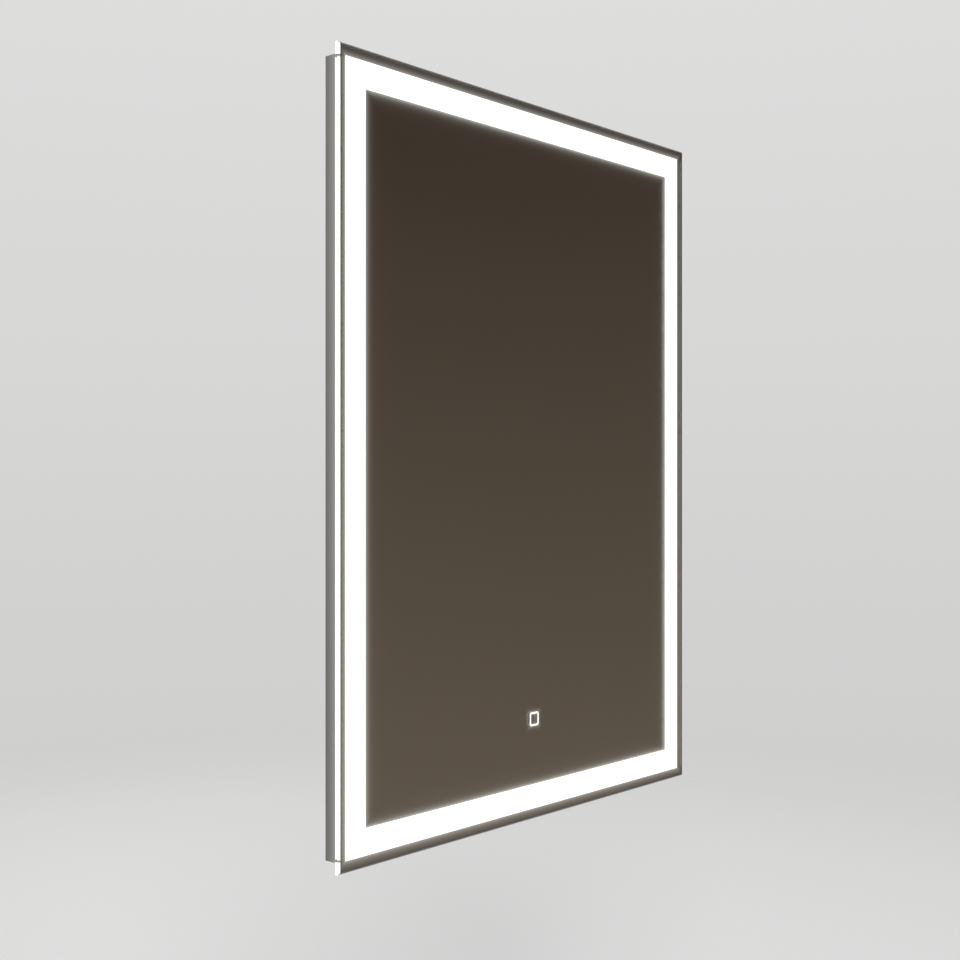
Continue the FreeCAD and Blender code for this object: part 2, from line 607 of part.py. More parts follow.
def make_led_chips(side):
    """The chips on one side's tape, at an even pitch about its middle."""
    reach = SIDES[side]["reach"]
    chips = TAPES[side]["chips"]
    body = side_body("led_chips", side)
    sketch = new_sketch(body, "XZ_Plane", "chip", offset=f"{FRAME_FLOOR} + Sizes.LedTapeThickness")
    start = f"(-Sizes.LedPitch * {(chips - 1) / 2})"
    draw_rectangle(sketch, f"{start} - Sizes.LedLength / 2", f"{start} + Sizes.LedLength / 2",
                   f"{reach} - {BAND_MIDDLE} - Sizes.LedWidth / 2",
                   f"{reach} - {BAND_MIDDLE} + Sizes.LedWidth / 2")
    chip = pad(body, sketch, "Sizes.LedHeight")
    row_of(body, chip, sketch, "H_Axis", chips, f"Sizes.LedPitch * {chips - 1}")


def row_of(body, feature, sketch, axis, count, length):
    """Repeats a feature along an axis of its sketch."""
    pattern = body.newObject("PartDesign::LinearPattern", f"{body.Name}_row")
    pattern.Originals = [feature]
    pattern.Direction = (sketch, [axis])
    pattern.Occurrences = count
    pattern.setExpression("Length", length)
    body.Tip = pattern
    return pattern


def make_jumpers():
    """Two short flat wires at three of the corners, from the tape across to the upright tape."""
    body = new_body("corner_jumpers", out=f"{FRAME_FLOOR} + Sizes.LedTapeThickness", z=GLASS_MIDDLE)
    sketch = new_sketch(body, "XZ_Plane", "wires")
    up = f"(Sizes.GlassHeight / 2 - {BAND_MIDDLE})"
    on_tape = 1
    for across_sign, up_sign in (("", ""), ("-", ""), ("-", "-")):
        for shift in (-2, 1):
            across = f"(Sizes.GlassWidth / 2 - {BAND_MIDDLE} + {shift})"
            draw_rectangle(sketch, f"{across_sign}{across}", f"{across_sign}({across} + Sizes.JumperWidth)",
                           f"{up_sign}({up} - Sizes.JumperLength)", f"{up_sign}({up} - {on_tape})")
    pad(body, sketch, "Sizes.JumperThickness")


# ---------------------------------------------------------------- rails and bumpers

def make_wall_rail():
    """The rail that is screwed to the wall: a plate, a shelf and an upright lip, bent from one sheet."""
    body = new_body("wall_rail")
    sheet_thick = "Sizes.RailSheet"
    lip_front = f"(Sizes.WallRailLipOut + {sheet_thick})"
    shelf_low = f"(Sizes.WallRailShelf - {sheet_thick})"
    section = new_sketch(body, "YZ_Plane", "section")
    draw_polygon(section, [
        ("0", "Sizes.WallRailBottom"),
        (f"-{sheet_thick}", "Sizes.WallRailBottom"),
        (f"-{sheet_thick}", shelf_low),
        (f"-{lip_front}", shelf_low),
        (f"-{lip_front}", "Sizes.WallRailLipTop"),
        ("-Sizes.WallRailLipOut", "Sizes.WallRailLipTop"),
        ("-Sizes.WallRailLipOut", "Sizes.WallRailShelf"),
        ("0", "Sizes.WallRailShelf")])
    pad(body, section, "Sizes.WallRailLength", symmetric=True)
    fillet(body, f"Sizes.RailBend + {sheet_thick}", lambda edge: runs_along(edge, 0) and (
        (near(middle_of(edge).y, f"-{lip_front}") and near(middle_of(edge).z, shelf_low))
        or (near(middle_of(edge).y, "0") and near(middle_of(edge).z, "Sizes.WallRailShelf"))))
    fillet(body, "Sizes.RailBend", lambda edge: runs_along(edge, 0) and (
        (near(middle_of(edge).y, f"-{sheet_thick}") and near(middle_of(edge).z, shelf_low))
        or (near(middle_of(edge).y, "-Sizes.WallRailLipOut")
            and near(middle_of(edge).z, "Sizes.WallRailShelf"))))
    holes = new_sketch(body, "XZ_Plane", "screw_holes")
    for sign in ("", "-"):
        draw_circle(holes, f"{sign}(Sizes.WallScrewSpacing / 2)", "0", "Sizes.WallScrewRadius")
        draw_slot(holes, f"{sign}(Sizes.WallSlotSpacing / 2)", "0", "Sizes.WallSlotLength",
                  "Sizes.WallScrewRadius")
    pocket(body, holes, "3 * Sizes.RailSheet", symmetric=True)


def make_hanging_rail():
    """The rail on the mirror: a web under the top channel, a hook behind the wall rail's lip, and a front
    flange that stiffens it."""
    body = new_body("hanging_rail", z=HANGING_TOP)
    thick = "Sizes.RailSheet"
    back = "Sizes.HangingRailOut"
    front = "(Sizes.HangingRailOut + Sizes.HangingRailDepth)"
    section = new_sketch(body, "YZ_Plane", "section")
    draw_polygon(section, [
        (f"-{back}", "0"),
        (f"-{front}", "0"),
        (f"-{front}", "-Sizes.StiffenerDrop"),
        (f"-({front} - {thick})", "-Sizes.StiffenerDrop"),
        (f"-({front} - {thick})", f"-{thick}"),
        (f"-({back} + {thick})", f"-{thick}"),
        (f"-({back} + {thick})", "-Sizes.HookDrop"),
        (f"-{back}", "-Sizes.HookDrop")])
    pad(body, section, "Sizes.HangingRailLength", symmetric=True)
    fillet(body, f"Sizes.RailBend + {thick}",
           lambda edge: runs_along(edge, 0) and near(middle_of(edge).z, "0"))
    holes = new_sketch(body, "XY_Plane", "rivet_holes")
    for across in rivet_places():
        draw_circle(holes, across, "-Sizes.RivetOut", "Sizes.RivetRadius")
    pocket(body, holes, "4 * Sizes.RailSheet", symmetric=True)


def make_rivets():
    """Blind rivets: a head under the web, a shank, and a set end inside the channel."""
    body = new_body("rail_rivets", out="Sizes.RivetOut", z=HANGING_TOP)
    sketch = new_sketch(body, "XZ_Plane", "profile")
    start = rivet_places()[0]
    wall = "Sizes.ChannelWall"
    web = "Sizes.RailSheet"
    head = f"-({web} + Sizes.RivetHeadHeight)"
    draw_polygon(sketch, [
        (start, head),
        (f"{start} + Sizes.RivetHeadRadius / 2", head),
        (f"{start} + Sizes.RivetHeadRadius", f"-{web}"),
        (f"{start} + Sizes.RivetRadius", f"-{web}"),
        (f"{start} + Sizes.RivetRadius", wall),
        (f"{start} + Sizes.RivetBulb", wall),
        (f"{start} + Sizes.RivetRadius", f"{wall} + Sizes.RivetBulbHeight"),
        (start, f"{wall} + Sizes.RivetBulbHeight")])
    reach = 10
    axis = sketch.addGeometry(Part.LineSegment(
        FreeCAD.Vector(value_of(start), -reach, 0), FreeCAD.Vector(value_of(start), reach, 0)), True)
    pin_point(sketch, axis, 1, start, f"-{reach}")
    pin_point(sketch, axis, 2, start, f"{reach}")
    turned = body.newObject("PartDesign::Revolution", "rivet_turned")
    turned.Profile = sketch
    turned.ReferenceAxis = (sketch, ["Axis0"])
    turned.Angle = 360
    row_of(body, turned, sketch, "H_Axis", int(size("RivetCount")),
           "Sizes.RivetSpacing * (Sizes.RivetCount - 1)")


def make_bumpers():
    """Four rubber bumpers on the back of the upright channels. They rest on the wall."""
    body = new_body("wall_bumpers", z=GLASS_MIDDLE)
    sketch = new_sketch(body, "XZ_Plane", "discs")
    for across_sign, up_sign in quadrant_signs():
        draw_circle(sketch, f"{across_sign}(Sizes.GlassWidth / 2 - Sizes.BumperInset)",
                    f"{up_sign}(Sizes.GlassHeight / 2 - Sizes.BumperReach)", "Sizes.BumperRadius")
    pad(body, sketch, "Sizes.WallGap")


# ---------------------------------------------------------------- LED driver

def upright_edge_along_y(edge):
    """Whether an edge runs straight out from the wall."""
    return runs_along(edge, 1)


def make_driver_case():
    """The driver's case: an open tray with its floor to the glass, a hole in each end for the gland and for
    the lead, and windows in its long walls for the cover's snap lugs."""
    body = new_body("driver_case", out=FRAME_FRONT, z=DRIVER_MIDDLE)
    half = "Sizes.DriverLength / 2"
    side = "Sizes.DriverWidth / 2"
    outline = new_sketch(body, "XZ_Plane", "outline")
    draw_rectangle(outline, f"-{half}", half, f"-{side}", side)
    pad(body, outline, "Sizes.DriverDepth", reverse=True)
    fillet(body, "Sizes.DriverCorner", upright_edge_along_y)
    hollow = new_sketch(body, "XZ_Plane", "hollow", offset="-Sizes.DriverWall")
    draw_rectangle(hollow, f"-({half} - Sizes.DriverWall)", f"{half} - Sizes.DriverWall",
                   f"-({side} - Sizes.DriverWall)", f"{side} - Sizes.DriverWall")
    pocket(body, hollow, "Sizes.DriverDepth")
    windows = new_sketch(body, "XY_Plane", "snap_windows")
    near_cover = "(Sizes.DriverDepth - Sizes.SnapDrop + Sizes.SnapFit)"
    near_floor = "(Sizes.DriverDepth - Sizes.SnapDrop - Sizes.SnapHeight - Sizes.SnapFit)"
    for left, right in snap_places("Sizes.SnapFit"):
        draw_rectangle(windows, left, right, near_floor, near_cover)
    pocket(body, windows, "2 * Sizes.DriverWidth", symmetric=True)
    for name, sign, radius in (("gland_hole", "-", "Sizes.GlandThread"),
                               ("lead_hole", "", "Sizes.LeadRadius + Sizes.LeadFit")):
        end = new_sketch(body, "YZ_Plane", name, offset=f"{sign}({half})")
        draw_circle(end, "Sizes.DriverDepth / 2", "0", radius)
        pocket(body, end, "4 * Sizes.DriverWall", symmetric=True)


def snap_places(margin):
    """The left and right ends of the snap lugs along the driver, with a margin round each."""
    half = f"(Sizes.SnapLength / 2 + {margin})"
    return [(f"{sign}Sizes.SnapAcross - {half}", f"{sign}Sizes.SnapAcross + {half}") for sign in ("", "-")]


def make_driver_cover():
    """The driver's cover, towards the wall: vent slots, and two lips with snap lugs that hold it in the
    case."""
    body = new_body("driver_cover", out=f"{FRAME_FRONT} - Sizes.DriverDepth", z=DRIVER_MIDDLE)
    half = "Sizes.DriverLength / 2"
    side = "Sizes.DriverWidth / 2"
    outline = new_sketch(body, "XZ_Plane", "outline")
    draw_rectangle(outline, f"-{half}", half, f"-{side}", side)
    pad(body, outline, "Sizes.CoverThickness", reverse=True)
    fillet(body, "Sizes.DriverCorner", upright_edge_along_y)
    vents = new_sketch(body, "XZ_Plane", "vents")
    for row in ("-Sizes.VentRows", "Sizes.VentRows"):
        for column in range(-2, 3):
            middle = f"{column} * Sizes.VentPitch"
            draw_rectangle(vents, f"{middle} - Sizes.VentLength / 2", f"{middle} + Sizes.VentLength / 2",
                           f"{row} - Sizes.VentWidth / 2", f"{row} + Sizes.VentWidth / 2")
    pocket(body, vents, "4 * Sizes.CoverThickness", symmetric=True)
    lips = new_sketch(body, "XZ_Plane", "lips")
    lugs = new_sketch(body, "XZ_Plane", "snap_lugs", offset="Sizes.SnapDrop")
    outer = f"({side} - Sizes.DriverWall - Sizes.SnapFit)"
    inner = f"({outer} - Sizes.LidLipThickness)"
    for sign in ("", "-"):
        draw_rectangle(lips, f"-({half} - Sizes.LidLipEnd)", f"{half} - Sizes.LidLipEnd",
                       f"{sign}{inner}", f"{sign}{outer}")
        for left, right in snap_places("0"):
            draw_rectangle(lugs, left, right, f"{sign}{inner}", f"{sign}({outer} + Sizes.SnapReach)")
    pad(body, lips, "Sizes.LidLipDepth")
    pad(body, lugs, "Sizes.SnapHeight")


BOARD_BACK = f"({FRAME_FRONT} - Sizes.DriverWall - Sizes.BoardRise - Sizes.BoardThickness)"


def make_driver_board():
    """The driver's circuit board. Its parts stand on it towards the wall."""
    body = new_body("driver_board", out=BOARD_BACK, z=DRIVER_MIDDLE)
    sketch = new_sketch(body, "XZ_Plane", "outline")
    draw_rectangle(sketch, "-Sizes.BoardLength / 2", "Sizes.BoardLength / 2",
                   "-Sizes.BoardWidth / 2", "Sizes.BoardWidth / 2")
    pad(body, sketch, "Sizes.BoardThickness")


# What stands on the driver's board, about the middle of the board: across, up, and sizes.
TRANSFORMER_ACROSS = -8
CORE_SIDE = 22
CORE_HEIGHT = 8.6
COIL_LENGTH = 30
CAPACITORS = [(-38, 6, 5), (28, 8, 4.5)]
CAPACITOR_HEIGHT = 9.6
TERMINALS = {"mains_terminal": -57, "lead_terminal": 56}
TERMINAL_WIDTH = 9
TERMINAL_LENGTH = 16
TERMINAL_HEIGHT = 8.4
HEATSINK_HEIGHT = 9


def make_transformer():
    """A ferrite core with two windows, and the coil whose sides pass through them."""
    core = new_body("transformer_core", x=f"{TRANSFORMER_ACROSS}", out=BOARD_BACK, z=DRIVER_MIDDLE)
    block = new_sketch(core, "XZ_Plane", "block")
    half = f"{CORE_SIDE / 2}"
    draw_rectangle(block, f"-{half}", half, f"-{half}", half)
    pad(core, block, f"{CORE_HEIGHT}", reverse=True)
    windows = new_sketch(core, "YZ_Plane", "windows")
    coil = new_body("transformer_coil", x=f"{TRANSFORMER_ACROSS}", out=BOARD_BACK, z=DRIVER_MIDDLE)
    sides = new_sketch(coil, "YZ_Plane", "sides")
    window_low, window_high, window_near, window_far, fit = 1.6, 7, 4, 8, 0.2
    for low, high in ((-window_far, -window_near), (window_near, window_far)):
        draw_rectangle(windows, f"{window_low}", f"{window_high}", f"{low}", f"{high}")
        draw_rectangle(sides, f"{window_low + fit}", f"{window_high - fit}",
                       f"{low + fit}", f"{high - fit}")
    pocket(core, windows, f"{2 * CORE_SIDE}", symmetric=True)
    pad(coil, sides, f"{COIL_LENGTH}", symmetric=True)


def make_capacitors():
    """Two standing capacitors."""
    body = new_body("driver_capacitors", out=BOARD_BACK, z=DRIVER_MIDDLE)
    sketch = new_sketch(body, "XZ_Plane", "cans")
    for across, up, radius in CAPACITORS:
        draw_circle(sketch, f"{across}", f"{up}", f"{radius}")
    pad(body, sketch, f"{CAPACITOR_HEIGHT}", reverse=True)


def make_heatsink():
    """A comb of extruded aluminium: a bar with four fins."""
    body = new_body("driver_heatsink", out=BOARD_BACK, z=DRIVER_MIDDLE)
    sketch = new_sketch(body, "XZ_Plane", "comb")
    left, bottom, bar_top, fin_top, fin, fins, pitch = 18, -15, -12, -5, 2.4, 4, 7.2
    right = left + (fins - 1) * pitch + fin
    corners = [(left, bottom), (right, bottom)]
    for index in reversed(range(fins)):
        start = left + index * pitch
        corners += [(start + fin, fin_top), (start, fin_top)]
        if index:
            corners += [(start, bar_top), (start - pitch + fin, bar_top)]
    draw_polygon(sketch, [(f"{across:g}", f"{up:g}") for across, up in corners])
    pad(body, sketch, f"{HEATSINK_HEIGHT}", reverse=True)


def make_terminals():
    """A two-way terminal block at each end of the board, with square wells over its screws."""
    for name, across in TERMINALS.items():
        block = new_body(name, x=f"{across}", out=BOARD_BACK, z=DRIVER_MIDDLE)
        outline = new_sketch(block, "XZ_Plane", "outline")
        draw_rectangle(outline, f"-{TERMINAL_WIDTH / 2}", f"{TERMINAL_WIDTH / 2}",
                       f"-{TERMINAL_LENGTH / 2}", f"{TERMINAL_LENGTH / 2}")
        pad(block, outline, f"{TERMINAL_HEIGHT}", reverse=True)
        wells = new_sketch(block, "XZ_Plane", "screw_wells", offset=f"-{TERMINAL_HEIGHT}")
        well = 1.6
        for up in (-TERMINAL_LENGTH / 4, TERMINAL_LENGTH / 4):
            draw_rectangle(wells, f"-{well}", f"{well}", f"{up - well}", f"{up + well}")
        pocket(block, wells, f"{TERMINAL_HEIGHT / 3}", reverse=True)


def make_gland():
    """The mains gland in the driver's end, bored for the supply cable, and its nut inside the case."""
    across = "-Sizes.DriverLength / 2"
    out = f"{FRAME_FRONT} - Sizes.DriverDepth / 2"
    gland = new_body("mains_gland", x=across, out=out, z=DRIVER_MIDDLE)
    hexagon = new_sketch(gland, "YZ_Plane", "hexagon")
    draw_hexagon(hexagon, "Sizes.GlandFlats")
    pad(gland, hexagon, "Sizes.GlandHexLength", reverse=True)
    cap = new_sketch(gland, "YZ_Plane", "cap", offset="-Sizes.GlandHexLength")
    draw_circle(cap, "0", "0", "Sizes.GlandCap")
    pad(gland, cap, "Sizes.GlandCapLength", reverse=True)
    end = "-(Sizes.GlandHexLength + Sizes.GlandCapLength)"
    chamfer(gland, "Sizes.GlandCapBevel",
            lambda edge: near(edge.BoundBox.XMax, end) and near(edge.BoundBox.XMin, end))
    thread = new_sketch(gland, "YZ_Plane", "thread")
    clearance = 0.05
    draw_circle(thread, "0", "0", f"Sizes.GlandThread - {clearance}")
    pad(gland, thread, "Sizes.GlandThreadLength")
    bore = new_sketch(gland, "YZ_Plane", "bore")
    draw_circle(bore, "0", "0", "Sizes.GlandBore")
    pocket(gland, bore, "3 * (Sizes.GlandHexLength + Sizes.GlandCapLength)", symmetric=True)

    nut = new_body("gland_nut", x=f"{across} + Sizes.DriverWall", out=out, z=DRIVER_MIDDLE)
    outline = new_sketch(nut, "YZ_Plane", "hexagon")
    draw_hexagon(outline, "Sizes.NutFlats")
    draw_circle(outline, "0", "0", "Sizes.GlandThread")
    pad(nut, outline, "Sizes.NutThickness")


def draw_hexagon(sketch, flats):
    """A hexagon about the sketch's origin, given its width across flats. Flats left and right."""
    corner = f"(({flats}) / 2 / cos(30))"
    draw_polygon(sketch, [(f"{corner} * sin({turn})", f"{corner} * cos({turn})")
                          for turn in range(0, 360, 60)])


def make_driver_pads():
    """Two foam pads between the glass and the driver."""
    body = new_body("driver_pads", out=FRAME_FRONT, z=DRIVER_MIDDLE)
    sketch = new_sketch(body, "XZ_Plane", "pads")
    from_end, length, from_side = 6, 32, 4
    for sign in ("", "-"):
        draw_rectangle(sketch, f"{sign}(Sizes.DriverLength / 2 - {from_end + length})",
                       f"{sign}(Sizes.DriverLength / 2 - {from_end})",
                       f"-(Sizes.DriverWidth / 2 - {from_side})", f"Sizes.DriverWidth / 2 - {from_side}")
    pad(body, sketch, "Sizes.BondThickness")


# ---------------------------------------------------------------- touch sensor

def make_sensor_case():
    """The sensor's case: a tray that is open to the glass, with posts for the board and a hole in each side
    for a lead."""
    body = new_body("sensor_case", out=FRAME_FRONT, z=KEY_MIDDLE)
    half = "Sizes.SensorWidth / 2"
    side = "Sizes.SensorHeight / 2"
    outline = new_sketch(body, "XZ_Plane", "outline")
    draw_rectangle(outline, f"-{half}", half, f"-{side}", side)
    pad(body, outline, "Sizes.SensorDepth", reverse=True)
    fillet(body, "Sizes.SensorCorner", upright_edge_along_y)
    hollow = new_sketch(body, "XZ_Plane", "hollow")
    draw_rectangle(hollow, f"-({half} - Sizes.SensorWall)", f"{half} - Sizes.SensorWall",
                   f"-({side} - Sizes.SensorWall)", f"{side} - Sizes.SensorWall")
    pocket(body, hollow, "Sizes.SensorDepth - Sizes.SensorWall")
    posts = new_sketch(body, "XZ_Plane", "posts", offset="-(Sizes.SensorDepth - Sizes.SensorWall)")
    for across_sign, up_sign in quadrant_signs():
        draw_rectangle(posts, f"{across_sign}({half} - Sizes.SensorWall)",
                       f"{across_sign}({half} - Sizes.SensorWall - Sizes.SensorPost)",
                       f"{up_sign}({side} - Sizes.SensorWall)",
                       f"{up_sign}({side} - Sizes.SensorWall - Sizes.SensorPost)")
    pad(body, posts, "Sizes.SensorPostHeight")
    holes = new_sketch(body, "YZ_Plane", "lead_holes")
    draw_circle(holes, "Sizes.SensorLeadDepth", "0", "Sizes.LeadRadius + Sizes.LeadFit")
    pocket(body, holes, "2 * Sizes.SensorWidth", symmetric=True)


SENSOR_BOARD_BACK = f"({FRAME_FRONT} - Sizes.SensorDepth + Sizes.SensorWall + Sizes.SensorPostHeight)"
SENSOR_BOARD_FRONT = f"({SENSOR_BOARD_BACK} + Sizes.BoardThickness)"


def make_sensor_parts():
    """What the sensor's case holds: board, four key lamps, a copper electrode behind the key and its pin,
    and the ring of foam tape that holds the case to the glass."""
    board = new_body("sensor_board", out=SENSOR_BOARD_BACK, z=KEY_MIDDLE)
    outline = new_sketch(board, "XZ_Plane", "outline")
    inset = 2
    draw_rectangle(outline, f"-(Sizes.SensorWidth / 2 - {inset})", f"Sizes.SensorWidth / 2 - {inset}",
                   f"-(Sizes.SensorHeight / 2 - {inset})", f"Sizes.SensorHeight / 2 - {inset}")
    pad(board, outline, "Sizes.BoardThickness")

    lamps = new_body("key_lamps", out=SENSOR_BOARD_FRONT, z=KEY_MIDDLE)
    chips = new_sketch(lamps, "XZ_Plane", "chips")
    ring = "(Sizes.KeySide / 2 - Sizes.KeyStroke / 2)"
    for across, up in (("0", ring), ("0", f"-{ring}"), (ring, "0"), (f"-{ring}", "0")):
        draw_rectangle(chips, f"{across} - Sizes.LedWidth / 2", f"{across} + Sizes.LedWidth / 2",
                       f"{up} - Sizes.LedWidth / 2", f"{up} + Sizes.LedWidth / 2")
    pad(lamps, chips, "Sizes.LedHeight")

    electrode = new_body("touch_electrode", out=f"{COATING_BACK} - Sizes.ElectrodeThickness", z=KEY_MIDDLE)
    frame = new_sketch(electrode, "XZ_Plane", "frame")
    for side in ("Sizes.ElectrodeOutside / 2", "Sizes.ElectrodeInside / 2"):
        draw_rectangle(frame, f"-{side}", side, f"-{side}", side)
    pad(electrode, frame, "Sizes.ElectrodeThickness")

    pin = new_body("electrode_pin", out=SENSOR_BOARD_FRONT, z=KEY_MIDDLE)
    section = new_sketch(pin, "XZ_Plane", "section")
    middle = "(Sizes.ElectrodeOutside + Sizes.ElectrodeInside) / 4"
    thickness = 1.2
    draw_rectangle(section, f"{middle} - {thickness / 2}", f"{middle} + {thickness / 2}",
                   f"{middle} - {thickness / 2}", f"{middle} + {thickness / 2}")
    pad(pin, section, f"{COATING_BACK} - Sizes.ElectrodeThickness - {SENSOR_BOARD_FRONT}")

    tape = new_body("sensor_tape", out=FRAME_FRONT, z=KEY_MIDDLE)
    ring_outline = new_sketch(tape, "XZ_Plane", "ring")
    for inset in (0.5, 4.5):
        across = f"(Sizes.SensorWidth / 2 - {inset})"
        up = f"(Sizes.SensorHeight / 2 - {inset})"
        draw_rectangle(ring_outline, f"-{across}", across, f"-{up}", up)
    pad(tape, ring_outline, "Sizes.BondThickness")


# ---------------------------------------------------------------- leads

LEAD_SIDES = 8


def tube_along(points, bends, radius, name):
    """A lead along straight runs that are joined by tangent arcs of the given bend radii. Its section has
    eight sides."""
    corners = [FreeCAD.Vector(*point) for point in points]
    edges = []
    start = corners[0]
    for index, bend in enumerate(bends, start=1):
        corner = corners[index]
        arriving = (corner - corners[index - 1]).normalize()
        leaving = (corners[index + 1] - corner).normalize()
        turn = arriving.getAngle(leaving)
        reach = bend * math.tan(turn / 2)
        entry = corner - arriving * reach
        departure = corner + leaving * reach
        inward = (leaving - arriving).normalize()
        middle = corner + inward * (bend / math.cos(turn / 2) - bend)
        edges.append(Part.LineSegment(start, entry).toShape())
        edges.append(Part.Arc(entry, middle, departure).toShape())
        start = departure
    edges.append(Part.LineSegment(start, corners[-1]).toShape())
    path = Part.Wire(edges)
    facing = FreeCAD.Rotation(FreeCAD.Vector(0, 0, 1), corners[1] - corners[0])
    ring = [corners[0] + facing.multVec(FreeCAD.Vector(radius * math.cos(turn), radius * math.sin(turn), 0))
            for turn in (2 * math.pi * index / LEAD_SIDES for index in range(LEAD_SIDES + 1))]
    tube = path.makePipeShell([Part.makePolygon(ring)], True, False)
    section = LEAD_SIDES / 2 * math.sin(2 * math.pi / LEAD_SIDES) * radius ** 2
    expected = section * path.Length
    print(f"{name}: {path.Length:.1f} mm long, bends {bends}, "
          f"volume {tube.Volume / expected:.4f} of its section")
    if abs(tube.Volume / expected - 1) > 0.01:
        raise RuntimeError(f"{name} isn't a clean tube")
    return tube


def add_feature(label, shape):
    """A piece whose shape is worked out from the sheet's sizes."""
    feature = doc.addObject("Part::Feature", label)
    feature.Label = label
    feature.Shape = shape
    feature.Placement = FreeCAD.Placement()
    pieces.append(feature)


def make_leads():
    """Two low-voltage leads: driver to sensor, clipped to the glass, and sensor to the light ring."""
    radius = size("LeadRadius")
    low = -(value_of(COATING_BACK) - size("LeadRise"))
    driver_y = -(value_of(FRAME_FRONT) - size("DriverDepth") / 2)
    sensor_y = -(value_of(FRAME_FRONT) - size("SensorLeadDepth"))
    driver_z = value_of(DRIVER_MIDDLE)
    key_z = value_of(KEY_MIDDLE)
    column = size("LeadColumn")
    case_end = size("DriverLength") / 2
    sensor_end = size("SensorWidth") / 2
    inside_case = 13
    inside_sensor = size("SensorWall") + 0.3
    add_feature("lead_driver_to_sensor", tube_along(
        [(case_end - inside_case, driver_y, driver_z), (case_end + 26, driver_y, driver_z),
         (case_end + 62, low, driver_z), (column, low, driver_z), (column, low, key_z),
         (sensor_end + 46, low, key_z), (sensor_end + 20, sensor_y, key_z),
         (sensor_end - inside_sensor, sensor_y, key_z)],
        [18, 18, 22, 22, 18, 18], radius, "lead_driver_to_sensor"))
    tape_y = -(value_of(FRAME_FLOOR) + size("LedTapeThickness") + radius + 0.6)
    ring_z = value_of(GLASS_BOTTOM) + value_of(BAND_MIDDLE)
    inner_wall_z = value_of(GLASS_BOTTOM) + value_of(CHANNEL_INSIDE)
    across = -size("RingLeadAcross")
    out = -size("RingLeadOut")
    add_feature("lead_sensor_to_ring", tube_along(
        [(inside_sensor - sensor_end, sensor_y, key_z), (-sensor_end - 12, sensor_y, key_z),
         (across, out, key_z - 22), (across, out, inner_wall_z - 6), (across, tape_y, ring_z - 2)],
        [12, 14, 7], radius, "lead_sensor_to_ring"))


def draw_saddle(sketch, middle, back, swapped):
    """A clip's section: a foot on the glass, a saddle over the lead, and the lead's hole. The foot's back
    is at "back" and the clip grows away from the glass."""
    foot = "Sizes.ClipFoot / 2"
    foot_top = "Sizes.ClipFootThickness"
    at_foot, at_top, over_lead = 1.7, 0.6, 1.5
    neck = f"(Sizes.LeadRadius + {at_foot})"
    shoulder = f"(Sizes.LeadRadius + {at_top})"
    top = f"(Sizes.LeadRise + Sizes.LeadRadius + {over_lead})"
    outline = [(f"-{foot}", "0"), (foot, "0"), (foot, foot_top), (neck, foot_top), (shoulder, top),
               (f"-{shoulder}", top), (f"-{neck}", foot_top), (f"-{foot}", foot_top)]
    corner = "((Sizes.LeadRadius + Sizes.LeadFit) / cos(22.5))"
    hole = [(f"{corner} * sin({turn} + 22.5)", f"Sizes.LeadRise + {corner} * cos({turn} + 22.5)")
            for turn in range(0, 360, 45)]
    for corners in (outline, hole):
        points = [(f"{middle} + ({across})", f"{back} + {rise}") for across, rise in corners]
        draw_polygon(sketch, [(rise, across) for across, rise in points] if swapped else points)


def make_clips():
    """Stick-on saddles that hold the long lead to the back of the glass: a row on its upright run, and one
    on each run across."""
    body = new_body("lead_clips")
    back = f"-{COATING_BACK}"
    run_length = "Sizes.ClipPitch * (Sizes.ClipCount - 1)"
    upright = new_sketch(body, "XY_Plane", "upright_run",
                         offset=f"{DRIVER_MIDDLE} - Sizes.ClipStart - {run_length}")
    draw_saddle(upright, "Sizes.LeadColumn", back, swapped=False)
    clip = pad(body, upright, "Sizes.ClipLength")
    row_of(body, clip, upright, "N_Axis", int(size("ClipCount")), run_length)
    for name, up, across in (("driver_run", DRIVER_MIDDLE, "Sizes.DriverLength / 2 + Sizes.DriverRunClip"),
                             ("sensor_run", KEY_MIDDLE, "Sizes.SensorWidth / 2 + Sizes.SensorRunClip")):
        run = new_sketch(body, "YZ_Plane", name, offset=across)
        draw_saddle(run, up, back, swapped=True)
        pad(body, run, "Sizes.ClipLength")


def make_grommet():
    """The rubber grommet where the short lead enters the bottom channel: a flange and a bored neck."""
    body = new_body("frame_grommet", x="-Sizes.RingLeadAcross", out="Sizes.RingLeadOut",
                    z=f"{GLASS_BOTTOM} + {CHANNEL_INSIDE}")
    flange = new_sketch(body, "XY_Plane", "flange")
    draw_circle(flange, "0", "0", "Sizes.LeadRadius + Sizes.GrommetWall + Sizes.GrommetFlange")
    pad(body, flange, "Sizes.GrommetThickness")
    neck = new_sketch(body, "XY_Plane", "neck")
    draw_circle(neck, "0", "0", "Sizes.LeadRadius + Sizes.GrommetWall")
    pad(body, neck, "2 * Sizes.ChannelWall", reverse=True)
    bore = new_sketch(body, "XY_Plane", "bore")
    clearance = 0.02
    draw_circle(bore, "0", "0", f"Sizes.LeadRadius + {clearance}")
    pocket(body, bore, "8 * Sizes.GrommetThickness", symmetric=True)


# ---------------------------------------------------------------- build and write

make_glass()
make_coating()
make_frame()
make_corner_cleats()
make_bond_tapes()
for side_name in SIDES:
    make_opal_strip(side_name)
    make_led_tape(side_name)
    make_led_chips(side_name)
make_jumpers()
make_wall_rail()
make_hanging_rail()
make_rivets()
make_bumpers()
make_driver_case()
make_driver_cover()
make_driver_board()
make_transformer()
make_capacitors()
make_heatsink()
make_terminals()
make_gland()
make_driver_pads()
make_sensor_case()
make_sensor_parts()
make_leads()
make_clips()
make_grommet()
doc.recompute()

